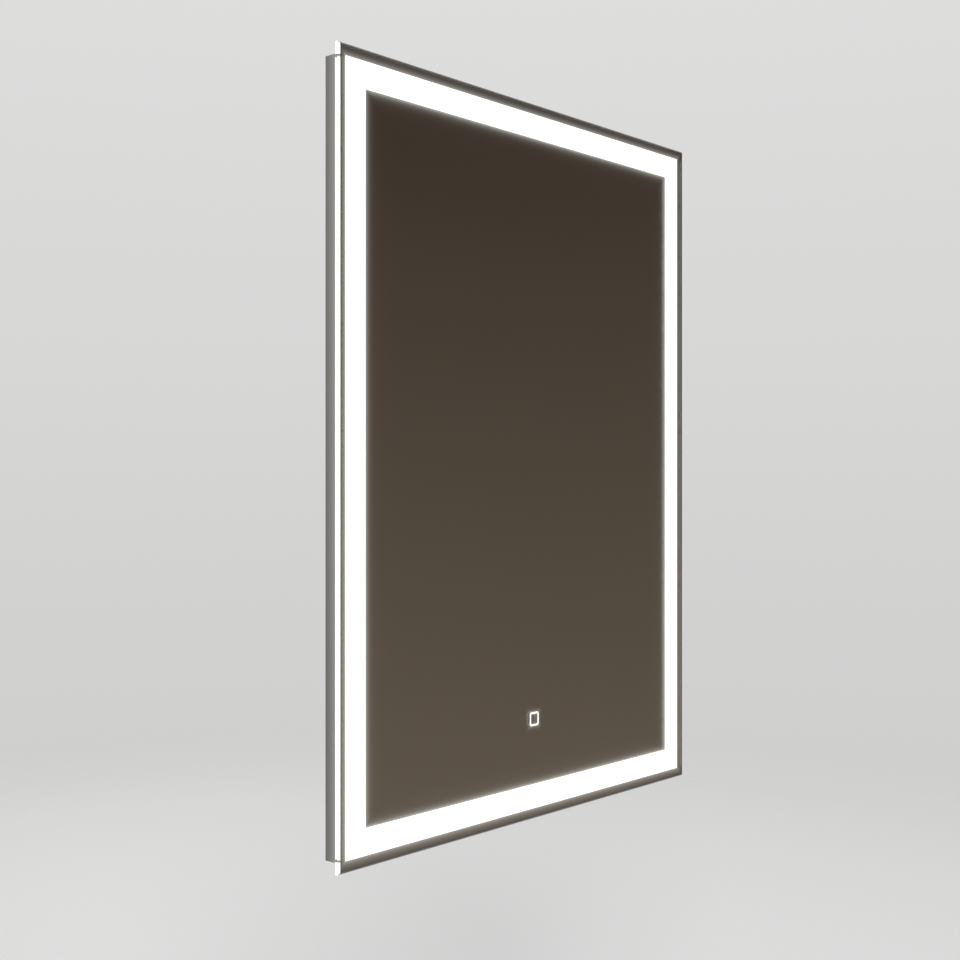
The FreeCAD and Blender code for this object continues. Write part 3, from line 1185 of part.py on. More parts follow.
for item in doc.Objects:
    if "Invalid" in item.State or "Error" in item.State:
        raise RuntimeError(f"{item.Name} failed: {item.State}")
os.makedirs("parts", exist_ok=True)
for piece in pieces:
    if piece.Shape.isNull() or not piece.Shape.isValid():
        raise RuntimeError(f"{piece.Label} has no valid shape")
    piece.Shape.exportStep(f"parts/{piece.Label}.step")
    box = piece.Shape.BoundBox
    print(f"{piece.Label}: {len(piece.Shape.Solids)} solids, {piece.Shape.Volume:.0f} mm3, "
          f"{box.XLength:.1f} x {box.YLength:.1f} x {box.ZLength:.1f}")
print(len(pieces), "pieces")
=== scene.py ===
"""Looks of a lighted bathroom mirror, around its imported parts.

Metres. X is to the right seen from the front, Y goes into the wall, Z is up. The origin is on the
wall plane, midway between the wall rail's two round screw holes. Every piece's mesh lies in this
frame, so a material's object coordinates are places on the mirror.
"""

import math

import bmesh
import bpy
from bpy.props import FloatProperty, FloatVectorProperty, PointerProperty
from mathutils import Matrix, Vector


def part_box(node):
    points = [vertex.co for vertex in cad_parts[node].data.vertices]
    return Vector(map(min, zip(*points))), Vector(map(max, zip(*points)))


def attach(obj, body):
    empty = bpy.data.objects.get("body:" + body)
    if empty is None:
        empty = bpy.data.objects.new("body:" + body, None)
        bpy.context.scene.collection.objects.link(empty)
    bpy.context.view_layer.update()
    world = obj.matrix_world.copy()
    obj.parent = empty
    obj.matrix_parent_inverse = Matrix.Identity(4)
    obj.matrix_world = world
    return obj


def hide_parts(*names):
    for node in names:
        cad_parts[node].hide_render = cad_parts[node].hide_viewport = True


bl_info = {
    "name": "Lighted bathroom mirror",
    "version": (1, 0, 0),
    "blender": (4, 5, 0),
    "location": "3D View > Sidebar > Mirror",
    "description": "Dresses the packed parts of a lighted bathroom mirror and sets its stage",
    "category": "Object",
}

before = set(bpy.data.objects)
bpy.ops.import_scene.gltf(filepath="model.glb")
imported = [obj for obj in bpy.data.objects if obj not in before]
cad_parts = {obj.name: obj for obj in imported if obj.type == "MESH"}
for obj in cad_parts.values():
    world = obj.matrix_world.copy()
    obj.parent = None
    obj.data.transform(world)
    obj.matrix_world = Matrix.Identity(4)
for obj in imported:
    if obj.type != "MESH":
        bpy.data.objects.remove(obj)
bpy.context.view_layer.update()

MM = 0.001
ACROSS, INTO, UP = range(3)
BLACK = (0.0, 0.0, 0.0)
GLASS_LOW, GLASS_HIGH = (Vector(corner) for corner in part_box("mirror_glass"))
GLASS_MIDDLE = (GLASS_LOW + GLASS_HIGH) / 2
GLASS_HALF = (GLASS_HIGH - GLASS_LOW) / 2
GLASS_IOR = 1.52
KEY_MIDDLE_Z = sum(corner[2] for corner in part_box("touch_electrode")) / 2
SIDES = ("top", "right", "bottom", "left")

# The sheet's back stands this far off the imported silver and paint, so the two never flicker.
SILVER_GAP = 0.02 * MM
# Light comes out of the glass at both ends of its left edge, so far along it and across it.
GLOW_ALONG, GLOW_ACROSS = 12.2 * MM, 2.2 * MM

# Turned pieces, in millimetres: where each stands, and its outline as pairs of a place along its
# axis and a radius there.
RIVET_PLACES = tuple((across, -11, 24) for across in (-225, 0, 225))
RIVET_HEAD = ((-2.1, 0.9), (-2.6, 0.95), (-2.7, 1.3), (-2.62, 2.2), (-2.3, 3.1), (-1.95, 3.7),
              (-1.7, 4.0), (-1.5, 4.0))
RIVET_SHANK = ((-1.5, 2.0), (1.4, 2.0), (1.5, 2.6), (2.2, 2.8), (3.6, 2.5), (4.4, 1.6))
BUMPER_PLACES = tuple((across, 0, up) for across in (-275, 275) for up in (-84, -584))
BUMPER_OUTLINE = ((-2.0, 6.0), (-0.9, 6.0), (-0.45, 5.85), (-0.15, 5.5), (0.0, 4.9), (0.0, 2.6),
                  (-0.2, 2.2), (-0.7, 1.9), (-0.75, 1.2))
GROMMET_PLACE = (-60, -12, -692)
GROMMET_OUTLINE = ((1.5, 1.72), (1.5, 3.3), (1.3, 3.8), (0.75, 4.1), (0.2, 3.8), (0.0, 3.3),
                   (0.0, 2.8), (-2.8, 2.7), (-2.8, 1.72))
GLAND_PLACE = (-75, -15.8, -95)
GLAND_BORE, GLAND_THREAD, GLAND_NECK, GLAND_CAP = 3.5, 4.7, 5.6, 6.0
GLAND_APOTHEM, GLAND_CORNER, GLAND_CORNER_CUT = 7.0, 7.9, 0.7
GLAND_GROOVES, GLAND_GROOVE_DEPTH = 16, 0.3

# The leads' routes, in millimetres.
LONG_LEAD = ((62, -15.8, -95), (101, -15.8, -95), (137, -22.2, -95), (192, -22.2, -95),
             (236, -22.2, -95), (236, -22.2, -139), (236, -22.2, -579), (236, -22.2, -623),
             (192, -22.2, -623), (69, -22.2, -623), (43, -17.5, -623), (21.2, -17.5, -623))
SHORT_LEAD = ((-21.2, -17.5, -623), (-35, -17.5, -623), (-47, -15, -634), (-60, -12, -645),
              (-60, -12, -684), (-60, -12, -698), (-60, -6.1, -711.5))

# The stage, in metres. The card's foot is pairs of a radius and a height above the floor, and its
# gap is the share of the half circle that stays open at each end. A lamp has a name, a place, a
# side and a power in watts.
FLOOR_RADIUS, FLOOR_FADE_START, FLOOR_FADE_WIDTH = 9.0, 0.8, 2.4
CARD_FOOT = ((0.5, 0.01), (1.9, 0.02), (2.2, 0.12), (2.3, 0.4))
CARD_RADIUS, CARD_TOP, CARD_STEPS, CARD_GAP = 2.3, 2.6, 48, 0.02
LAMPS = (("main_lamp", (-2.8, -2.9, 1.9), 2.2, 95.0),
         ("side_lamp", (3.2, -2.4, 0.9), 2.2, 40.0),
         ("back_lamp", (1.5, 3.4, 1.8), 2.4, 70.0))
AMBIENT_LEVEL = 0.42
CAMERA_PLACE, CAMERA_TURN = (-1.2041, -1.00405, -0.355), -48.71


# ---------------------------------------------------------------- settings

class MirrorGlassSettings(bpy.types.PropertyGroup):
    """Sizes and colours of the glass, its silver and its light."""

    chamfer: FloatProperty(
        name="Chamfer", description="Ground front edge of the glass", default=2 * MM,
        unit="LENGTH")
    band_inset: FloatProperty(
        name="Band inset", description="Glass edge to the lit band", default=11 * MM,
        unit="LENGTH")
    band_width: FloatProperty(
        name="Band width", description="Width of the lit band", default=27 * MM, unit="LENGTH")
    key_side: FloatProperty(
        name="Key side", description="Outside of the key's lit ring", default=15.5 * MM,
        unit="LENGTH")
    key_stroke: FloatProperty(
        name="Key stroke", description="Width of the key's lit ring", default=2 * MM,
        unit="LENGTH")
    key_radius: FloatProperty(
        name="Key corner", description="Outside corner of the key's lit ring", default=3 * MM,
        unit="LENGTH")
    light_level: FloatProperty(
        name="Light level", description="Strength of the lit band and ring", default=1.25, min=0)
    halo_level: FloatProperty(
        name="Halo level", description="Strength of the light on the silver beside the band",
        default=0.29, min=0, max=1)
    halo_reach: FloatProperty(
        name="Halo reach", description="How far the light spreads over the silver",
        default=2.6 * MM, unit="LENGTH")
    margin_glow: FloatVectorProperty(
        name="Margin glow", description="Green light on the silver beside the upright bands",
        default=(0.014, 0.020, 0.010), subtype="COLOR", min=0, max=1)
    light_colour: FloatVectorProperty(
        name="Light colour", description="Colour of the lit band and ring",
        default=(1.0, 0.985, 0.955), subtype="COLOR", min=0, max=1)
    glass_tint: FloatVectorProperty(
        name="Glass tint", description="Tint of the float glass", default=(0.915, 0.965, 0.94),
        subtype="COLOR", min=0, max=1)
    silver: FloatVectorProperty(
        name="Silver", description="Colour of the silver layer", default=(0.93, 0.925, 0.91),
        subtype="COLOR", min=0, max=1)
    # Painted reflection and painted shade: the chamfers' near-black grey stands in for the dark room
    # that they reflect.
    ground: FloatVectorProperty(
        name="Ground chamfer", description="Satin-ground chamfer along the top and the bottom",
        default=(0.045, 0.042, 0.038), subtype="COLOR", min=0, max=1)
    paint: FloatVectorProperty(
        name="Backing paint", description="Paint over the silver, seen from behind",
        default=(0.20, 0.205, 0.21), subtype="COLOR", min=0, max=1)


class MirrorBodySettings(bpy.types.PropertyGroup):
    """Colours and round edges of the pieces behind the glass."""

    aluminium: FloatVectorProperty(
        name="Frame", description="Satin anodised aluminium of the frame",
        default=(0.255, 0.247, 0.241), subtype="COLOR", min=0, max=1)
    steel: FloatVectorProperty(
        name="Rails", description="Zinc-plated steel of the rails", default=(0.55, 0.56, 0.58),
        subtype="COLOR", min=0, max=1)
    foam: FloatVectorProperty(
        name="Foam tape", description="Closed-cell foam tape", default=(0.78, 0.77, 0.74),
        subtype="COLOR", min=0, max=1)
    opal: FloatVectorProperty(
        name="Opal strips", description="Opal acrylic", default=(0.90, 0.90, 0.89),
        subtype="COLOR", min=0, max=1)
    rubber: FloatVectorProperty(
        name="Rubber", description="Bumpers and grommet", default=(0.035, 0.035, 0.036),
        subtype="COLOR", min=0, max=1)
    driver: FloatVectorProperty(
        name="Driver case", description="Moulded case and cover of the LED driver",
        default=(0.76, 0.76, 0.74), subtype="COLOR", min=0, max=1)
    sensor: FloatVectorProperty(
        name="Sensor case", description="Moulded case of the touch sensor",
        default=(0.045, 0.046, 0.048), subtype="COLOR", min=0, max=1)
    lead: FloatVectorProperty(
        name="Leads", description="Vinyl jacket of the leads", default=(0.78, 0.77, 0.74),
        subtype="COLOR", min=0, max=1)
    lead_radius: FloatProperty(
        name="Lead radius", description="Radius of the leads' jacket", default=1.7 * MM,
        unit="LENGTH")
    cover_round: FloatProperty(
        name="Cover edge", description="Round edge of the driver's cover", default=1.1 * MM,
        unit="LENGTH")
    sensor_round: FloatProperty(
        name="Sensor edge", description="Round edge of the touch sensor", default=0.9 * MM,
        unit="LENGTH")


class MirrorStageSettings(bpy.types.PropertyGroup):
    """The plain studio around the mirror."""

    floor_height: FloatProperty(
        name="Floor height", description="Height of the floor from the rail's screw holes",
        default=-1.2, unit="LENGTH")
    backdrop_low: FloatVectorProperty(
        name="Backdrop, low", description="Colour of the background straight below",
        default=(0.46, 0.46, 0.455), subtype="COLOR", min=0, max=1)
    backdrop_high: FloatVectorProperty(
        name="Backdrop, high", description="Colour of the background straight above",
        default=(0.86, 0.86, 0.855), subtype="COLOR", min=0, max=1)
    card_high: FloatVectorProperty(
        name="Card, high", description="What the mirror shows at the height of its top",
        default=(0.052, 0.036, 0.0265), subtype="COLOR", min=0, max=1)
    card_low: FloatVectorProperty(
        name="Card, low", description="What the mirror shows at the height of its bottom",
        default=(0.128, 0.098, 0.077), subtype="COLOR", min=0, max=1)
    lens: FloatProperty(
        name="Lens", description="Focal length of the camera", default=51.77, unit="CAMERA")


def glass_settings():
    return bpy.context.scene.mirror_glass


def body_settings():
    return bpy.context.scene.mirror_body


def stage_settings():
    return bpy.context.scene.mirror_stage


# ---------------------------------------------------------------- shader sums

class Value:
    """A shader socket that can be used in Python sums."""

    def __init__(self, finish, socket):
        self.finish = finish
        self.socket = socket

    def __add__(self, other):
        return self.finish.math("ADD", self, other)

    def __radd__(self, other):
        return self.finish.math("ADD", other, self)

    def __sub__(self, other):
        return self.finish.math("SUBTRACT", self, other)

    def __rsub__(self, other):
        return self.finish.math("SUBTRACT", other, self)

    def __mul__(self, other):
        return self.finish.math("MULTIPLY", self, other)

    def __rmul__(self, other):
        return self.finish.math("MULTIPLY", other, self)

    def __truediv__(self, other):
        return self.finish.math("DIVIDE", self, other)

    def __rtruediv__(self, other):
        return self.finish.math("DIVIDE", other, self)

    def __mod__(self, other):
        return self.finish.math("FLOORED_MODULO", self, other)

    def __rmod__(self, other):
        return self.finish.math("FLOORED_MODULO", other, self)

    def __pow__(self, other):
        return self.finish.math("POWER", self, other)

    def __rpow__(self, other):
        return self.finish.math("POWER", other, self)

    def __lt__(self, other):
        return self.finish.math("LESS_THAN", self, other)

    def __gt__(self, other):
        return self.finish.math("GREATER_THAN", self, other)

    def __abs__(self):
        return self.finish.math("ABSOLUTE", self)

    def least(self, other):
        return self.finish.math("MINIMUM", self, other)

    def most(self, other):
        return self.finish.math("MAXIMUM", self, other)

    def held(self):
        """The value, kept from 0 to 1."""
        return self.least(1.0).most(0.0)

    def beyond(self, limit, gain):
        """Patches, from 0 to 1, where the value is over a limit. More gain gives harder rims."""
        return ((self - limit) * gain).held()

    def spread(self, low, high):
        """A value from 0 to 1, spread between two numbers."""
        return self * (high - low) + low

    def also(self, name):
        """Another output of the same node."""
        return Value(self.finish, self.socket.node.outputs[name])


class Finish:
    """A material, or the world, under construction. One method makes every node."""

    def __init__(self, owner):
        owner.use_nodes = True
        self.owner = owner
        self.tree = owner.node_tree
        self.tree.nodes.clear()

    def add(self, kind, settings=None, inputs=None, output=0):
        """A new node: its settings first, then its sockets' values or links. Gives an output."""
        node = self.tree.nodes.new(kind)
        for name, value in (settings or {}).items():
            setattr(node, name, value)
        for key, value in (inputs or {}).items():
            if isinstance(value, Value):
                self.tree.links.new(value.socket, node.inputs[key])
            else:
                node.inputs[key].default_value = value
        return Value(self, node.outputs[output]) if node.outputs else node

    def math(self, operation, *values):
        return self.add("ShaderNodeMath", {"operation": operation}, dict(enumerate(values)))

    def vector(self, operation, first, second):
        return self.add("ShaderNodeVectorMath", {"operation": operation}, {0: first, 1: second})

    def place(self):
        """Where on the mirror a point is."""
        return self.add("ShaderNodeTexCoord", output="Object")

    def place_parts(self):
        """The same as three numbers: across, into the wall, up."""
        across = self.add("ShaderNodeSeparateXYZ", inputs={0: self.place()})
        return across, across.also("Y"), across.also("Z")

    def noise(self, scale, detail=2.0, roughness=0.5, where=None):
        """Soft noise, with so many cells to the metre."""
        return self.add("ShaderNodeTexNoise", inputs={
            "Vector": where or self.place(), "Scale": scale, "Detail": detail,
            "Roughness": roughness})

    def streaks(self, scales, detail=2.0, roughness=0.5):
        """Noise with a scale of its own along each axis."""
        return self.noise(1.0, detail, roughness, self.vector("MULTIPLY", self.place(), scales))

    def cells(self, scale, feature="F1", where=None):
        """Round cells, with so many to the metre."""
        return self.add("ShaderNodeTexVoronoi", {"feature": feature},
                        {"Vector": where or self.place(), "Scale": scale})

    def blend(self, factor, first, second):
        """A mix of two colours."""
        colours = [value if isinstance(value, Value) else (*value[:3], 1.0)
                   for value in (first, second)]
        return self.add("ShaderNodeMix", {"data_type": "RGBA"},
                        {0: factor, 6: colours[0], 7: colours[1]}, output=2)

    def bump(self, height, distance, strength=0.5):
        return self.add("ShaderNodeBump", inputs={
            "Strength": strength, "Distance": distance, "Height": height})

    def show(self, shader):
        """Ends the material with this shader."""
        self.add("ShaderNodeOutputMaterial", inputs={"Surface": shader})
        return self.owner

    def surface(self, inputs):
        """Ends the material with one Principled shader."""
        return self.show(self.add("ShaderNodeBsdfPrincipled", inputs=inputs))


def new_finish(name):
    return Finish(bpy.data.materials.new(name))


def shaded(tone, factor):
    """A colour made darker or lighter."""
    return tuple(min(1.0, part * factor) for part in tone)


def insets(across, up):
    """How far in from the nearer upright edge of the glass a place is, and how far in from the
    nearer level edge."""
    return GLASS_HALF.x - abs(across), GLASS_HALF.z - abs(up - GLASS_MIDDLE.z)


# ---------------------------------------------------------------- finishes of the glass

def float_glass():
    """Clear float glass, its faint green tint a little uneven."""
    finish = new_finish("float_glass")
    tint = glass_settings().glass_tint
    waves = finish.noise(3.0, detail=1.0)
    return finish.surface({
        "Base Color": finish.blend(waves, tint, shaded(tint, 1.02)),
        "Roughness": 0.0, "IOR": GLASS_IOR, "Transmission Weight": 1.0})


def polished_edge():
    """The polished edge, and the chamfers at the left and the right: clear, with faint grinding
    lines. Light that runs in the glass comes out at both ends of the left edge."""
    finish = new_finish("polished_edge")
    settings = glass_settings()
    tint = settings.glass_tint
    across, _, up = finish.place_parts()
    from_end = GLASS_HALF.z - abs(up - GLASS_MIDDLE.z)
    glowing = (from_end < GLOW_ALONG) * ((across - GLASS_LOW.x) < GLOW_ACROSS)
    lines = finish.streaks((400.0, 4000.0, 400.0))
    return finish.surface({
        "Base Color": finish.blend(lines, tint, shaded(tint, 1.02)),
        "Roughness": lines.spread(0.02, 0.09), "IOR": GLASS_IOR, "Transmission Weight": 1.0,
        "Emission Color": finish.blend(glowing, BLACK, settings.light_colour),
        "Emission Strength": settings.light_level,
        "Normal": finish.bump(lines, 0.01 * MM, strength=0.25)})


def chamfer_painted_dark():
    """The satin-ground chamfers at the top and the bottom, with grinding lines along them.
    Their near-black grey is painted reflection and painted shade: it stands in for the dark
    room that they reflect.
    """
    finish = new_finish("chamfer_painted_dark")
    grey = glass_settings().ground
    lines = finish.streaks((30.0, 4000.0, 4000.0), detail=3.0)
    return finish.surface({
        # Painted reflection and painted shade: a near-black grey in place of the dark room that the
        # chamfers reflect.
        "Base Color": finish.blend(lines, shaded(grey, 0.8), shaded(grey, 1.2)),
        "Roughness": lines.spread(0.26, 0.38), "IOR": GLASS_IOR,
        "Normal": finish.bump(lines, 0.01 * MM, strength=0.3)})


def glow_on_silver(finish):
    """How much of the band's and the ring's light spreads over the silver, from 0 to 1, and where
    the silver's margins beside the upright bands are."""
    settings = glass_settings()
    margin_steepness, haze_level, haze_reach, ring_level, ring_reach = 0.5, 0.04, 5.0, 0.55, 0.6
    across, _, up = finish.place_parts()
    from_side, from_end = insets(across, up)
    band_middle = settings.band_inset + settings.band_width / 2
    off_band = (abs(from_side.least(from_end) - band_middle) - settings.band_width / 2).most(0.0)
    margin = (from_side < settings.band_inset) * (from_end > settings.band_inset)
    ring_middle = (settings.key_side - settings.key_stroke) / 2
    off_ring = (abs(abs(across).most(abs(up - KEY_MIDDLE_Z)) - ring_middle)
                - settings.key_stroke / 2).most(0.0)
    halo = math.e ** (off_band * (margin * margin_steepness + 1.0) / -settings.halo_reach)
    haze = math.e ** (off_band / (-haze_reach * settings.halo_reach)) * haze_level
    ring = math.e ** (off_ring / (-ring_reach * settings.halo_reach))
    glow = ((halo + haze) * settings.halo_level).most(ring * settings.halo_level * ring_level)
    return glow, margin


def mirror_silver():
    """Silver behind the glass, with the light that spreads from the band and the key's ring."""
    finish = new_finish("mirror_silver")
    settings = glass_settings()
    cloud = finish.noise(9.0, detail=3.0)
    glow, margin = glow_on_silver(finish)
    spread_light = finish.vector("ADD", finish.blend(glow, BLACK, settings.light_colour),
                                 finish.blend(margin, BLACK, settings.margin_glow))
    return finish.surface({
        "Base Color": finish.blend(cloud, settings.silver, shaded(settings.silver, 0.985)),
        "Metallic": 1.0, "Roughness": 0.0,
        "Emission Color": spread_light, "Emission Strength": settings.light_level})


def etched_light():
    """Etched glass, lit from behind: a fine sandblasted grain in an even white."""
    finish = new_finish("etched_light")
    settings = glass_settings()
    white = settings.light_colour
    grain = finish.noise(2600.0, detail=3.0)
    wide = finish.noise(14.0, detail=1.0)
    return finish.surface({
        "Base Color": finish.blend(grain, (0.80, 0.81, 0.80), (0.88, 0.88, 0.87)),
        "Roughness": 0.6,
        "Emission Color": finish.blend(grain * 0.5 + wide * 0.5, white, shaded(white, 0.97)),
        "Emission Strength": settings.light_level,
        "Normal": finish.bump(grain, 0.02 * MM, strength=0.3)})


def backing_paint():
    """Grey paint over the silver: orange peel, faint roller bands, a few scuffs and specks, and
    an uneven line of bare silver along the edge."""
    finish = new_finish("backing_paint")
    paint = glass_settings().paint
    bare_silver, scuff_grey = (0.52, 0.50, 0.46), (0.42, 0.42, 0.42)
    peel = finish.noise(420.0)
    bands = finish.streaks((1.2, 1.0, 26.0), detail=3.0)
    scuffs = finish.streaks((60.0, 60.0, 14.0), detail=6.0, roughness=0.75).beyond(0.60, 6.0)
    specks = finish.cells(130.0) < 0.10
    across, _, up = finish.place_parts()
    from_side, from_end = insets(across, up)
    bare = from_side.least(from_end) < finish.noise(140.0, detail=3.0) * 2.4 * MM
    tone = finish.blend(bands, shaded(paint, 0.80), shaded(paint, 1.18))
    tone = finish.blend(scuffs * 0.4, tone, scuff_grey)
    tone = finish.blend(specks * 0.35, tone, shaded(paint, 0.5))
    return finish.surface({
        "Base Color": finish.blend(bare, tone, bare_silver),
        "Roughness": peel.spread(0.36, 0.60) - bare * 0.15,
        "Normal": finish.bump(peel, 0.06 * MM)})


# ---------------------------------------------------------------- finishes behind the glass

def satin_aluminium(name, line_scales):
    """Satin anodised extrusion: fine die lines along its length, a soft handling haze, the seams
    of the mitres, and the light that leaks from the glass onto its front."""
    finish = new_finish(name)
    grey = body_settings().aluminium
    leaked_light, seam_width = (0.28, 0.275, 0.262), 0.22 * MM
    lines = finish.streaks(line_scales, detail=3.0, roughness=0.6)
    haze = finish.noise(24.0, detail=3.0)
    across, out, up = finish.place_parts()
    from_side, from_end = insets(across, up)
    front, back = (corner[1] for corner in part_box("frame_left"))
    to_glass = ((back - out) / (back - front)).held()
    seam = abs(from_side - from_end) < seam_width
    tone = finish.blend(lines, shaded(grey, 0.84), shaded(grey, 1.12))
    tone = finish.blend(haze * 0.5, tone, shaded(grey, 0.80))
    return finish.surface({
        "Base Color": finish.blend(seam, tone, shaded(grey, 0.25)), "Metallic": 1.0,
        "Roughness": lines.spread(0.26, 0.40) + haze * 0.06,
        "Emission Color": finish.blend(to_glass ** 1.5, BLACK, leaked_light),
        "Emission Strength": 1.0,
        "Normal": finish.bump(lines, 0.02 * MM, strength=0.35)})


def zinc_steel():
    """Zinc-plated sheet: a fine roll grain along its length, a cloudy blue-grey plating, dull
    spots."""
    finish = new_finish("zinc_steel")
    steel = body_settings().steel
    bluish = tuple(part * gain for part, gain in zip(steel, (1.10, 1.12, 1.14)))
    grain = finish.streaks((12.0, 900.0, 900.0), detail=4.0, roughness=0.65)
    cloud = finish.noise(34.0, detail=4.0, roughness=0.6)
    spots = finish.noise(260.0, detail=3.0).beyond(0.60, 8.0)
    tone = finish.blend(cloud, shaded(steel, 0.86), bluish)
    return finish.surface({
        "Base Color": finish.blend(spots * 0.4, tone, shaded(steel, 0.62)), "Metallic": 1.0,
        "Roughness": grain.spread(0.24, 0.42) + spots * 0.15,
        "Normal": finish.bump(grain, 0.02 * MM, strength=0.4)})


def foam_tape():
    """Closed-cell foam: fine round cells."""
    finish = new_finish("foam_tape")
    foam = body_settings().foam
    cells = finish.cells(2200.0)
    return finish.surface({
        "Base Color": finish.blend(cells, shaded(foam, 0.82), foam), "Roughness": 0.85,
        "Normal": finish.bump(cells, 0.12 * MM, strength=0.6)})


def opal_acrylic():
    """Opal acrylic: a milky sheet that glows a little unevenly."""
    finish = new_finish("opal_acrylic")
    opal = body_settings().opal
    milk = finish.noise(60.0)
    return finish.surface({
        "Base Color": finish.blend(milk, shaded(opal, 0.97), opal),
        "Roughness": milk.spread(0.28, 0.36), "Subsurface Weight": 0.2,
        "Emission Color": finish.blend(milk, (0.95, 0.94, 0.92), (1.0, 0.99, 0.97)),
        "Emission Strength": 0.35})


def tape_circuit(name, upright, middle):
    """White flexible circuit with a pair of small copper pads at each cut line."""
    finish = new_finish(name)
    cut_pitch, pad_share, pad_offset, pad_half = 50.0 * MM, 0.03, 2.2 * MM, 0.9 * MM
    across, _, up = finish.place_parts()
    along, side = (up, across) if upright else (across, up)
    cut = abs((along / cut_pitch) % 1.0 - 0.5) < pad_share
    pads = cut * (abs(abs(side - middle) - pad_offset) < pad_half)
    weave = finish.noise(900.0)
    white = finish.blend(weave, (0.80, 0.80, 0.78), (0.86, 0.86, 0.84))
    return finish.surface({
        "Base Color": finish.blend(pads, white, (0.72, 0.42, 0.20)),
        "Metallic": pads, "Roughness": weave.spread(0.45, 0.6),
        "Normal": finish.bump(weave, 0.02 * MM, strength=0.3)})


def phosphor():
    """The yellow gel of a lamp chip."""
    finish = new_finish("phosphor")
    speck = finish.noise(3000.0)
    return finish.surface({
        "Base Color": finish.blend(speck, (0.86, 0.70, 0.22), (0.95, 0.84, 0.40)),
        "Roughness": 0.25,
        "Emission Color": finish.blend(speck, (0.9, 0.86, 0.7), (1.0, 0.97, 0.88)),
        "Emission Strength": 0.6})


def grained_plastic(name, tone, scale=1500.0, depth=0.03, rough=(0.42, 0.56)):
    """Moulded plastic with a spark-eroded grain, its depth in millimetres, and faint flow
    marks."""
    finish = new_finish(name)
    grain = finish.noise(scale, detail=3.0, roughness=0.6)
    flow = finish.streaks((30.0, 30.0, 9.0))
    marked = finish.blend(flow, shaded(tone, 0.93), shaded(tone, 1.04))
    return finish.surface({
        "Base Color": finish.blend(grain * 0.3, marked, shaded(tone, 0.86)),
        "Roughness": grain.spread(*rough), "Normal": finish.bump(grain, depth * MM)})


def soft_rubber():
    """Matt black rubber with a dusty bloom."""
    finish = new_finish("soft_rubber")
    dust = (0.10, 0.10, 0.10)
    grain = finish.noise(1200.0, detail=3.0)
    bloom = finish.noise(90.0, detail=4.0, roughness=0.7).beyond(0.45, 3.0)
    return finish.surface({
        "Base Color": finish.blend(bloom * 0.5, body_settings().rubber, dust),
        "Roughness": grain.spread(0.68, 0.86), "Normal": finish.bump(grain, 0.04 * MM)})


def solder_mask():
    """A green circuit board with tracks under its mask."""
    finish = new_finish("solder_mask")
    stretched = finish.vector("MULTIPLY", finish.place(), (1.0, 0.2, 1.0))
    tracks = finish.cells(190.0, "DISTANCE_TO_EDGE", stretched) < 0.09
    speck = finish.noise(1400.0)
    green = finish.blend(speck, (0.012, 0.120, 0.050), (0.018, 0.155, 0.065))
    return finish.surface({
        "Base Color": finish.blend(tracks, green, (0.03, 0.23, 0.10)), "Roughness": 0.3,
        "Normal": finish.bump(tracks, 0.03 * MM, strength=0.6)})


def sintered_ferrite():
    """Dark grey sintered ferrite."""
    finish = new_finish("sintered_ferrite")
    grain = finish.noise(1800.0, detail=4.0, roughness=0.7)
    return finish.surface({
        "Base Color": finish.blend(grain, (0.05, 0.048, 0.048), (0.11, 0.105, 0.10)),
        "Roughness": grain.spread(0.5, 0.72), "Normal": finish.bump(grain, 0.03 * MM)})


def copper():
    """Tarnished copper. Wound wire shows as fine ridges."""
    finish = new_finish("copper")
    wire_pitch = 0.6 * MM
    across, _, _ = finish.place_parts()
    ridge = abs((across / wire_pitch) % 1.0 - 0.5)
    tarnish = finish.noise(220.0, detail=3.0)
    return finish.surface({
        "Base Color": finish.blend(tarnish, (0.62, 0.26, 0.10), (0.80, 0.40, 0.20)),
        "Metallic": 1.0, "Roughness": tarnish.spread(0.22, 0.4),
        "Normal": finish.bump(ridge, 0.15 * MM)})


def bright_aluminium():
    """Bright aluminium of the rivets and the heat sink."""
    finish = new_finish("bright_aluminium")
    grain = finish.streaks((500.0, 500.0, 1800.0), detail=3.0)
    return finish.surface({
        "Base Color": finish.blend(grain, (0.60, 0.60, 0.61), (0.74, 0.74, 0.75)),
        "Metallic": 1.0, "Roughness": grain.spread(0.24, 0.42),
        "Normal": finish.bump(grain, 0.02 * MM, strength=0.4)})


# ---------------------------------------------------------------- helpers for pieces

def dress(nodes, material):
    """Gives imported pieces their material."""
    for node in nodes:
        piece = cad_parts[node]
        piece.data.materials.clear()
        piece.data.materials.append(material)


def new_piece(name, data, materials, body, slot, *replaced):
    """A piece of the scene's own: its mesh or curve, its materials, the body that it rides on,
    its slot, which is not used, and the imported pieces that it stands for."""
    for material in materials:
        data.materials.append(material)
    piece = bpy.data.objects.new(name, data)
    bpy.context.scene.collection.objects.link(piece)
    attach(piece, body)
    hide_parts(*replaced)
    return piece


def mesh_data(name, mesh):
    """Turns a mesh under construction into data, and frees it."""
    data = bpy.data.meshes.new(name)
    mesh.to_mesh(data)
    mesh.free()
    return data


def smooth_data(name, mesh, sharp=32.0):
    """Turns a mesh under construction into data with its normals outwards, smooth but for the
    edges that are sharper than so many degrees."""
    bmesh.ops.recalc_face_normals(mesh, faces=mesh.faces[:])
    data = mesh_data(name, mesh)
    data.shade_smooth()
    data.set_sharp_from_angle(angle=math.radians(sharp))
    return data


def glass_outline(inset):
    """The glass's outline, so far in from its edge."""
    left, right = GLASS_LOW.x + inset, GLASS_HIGH.x - inset
    low, high = GLASS_LOW.z + inset, GLASS_HIGH.z - inset
    return [(right, high), (left, high), (left, low), (right, low)]


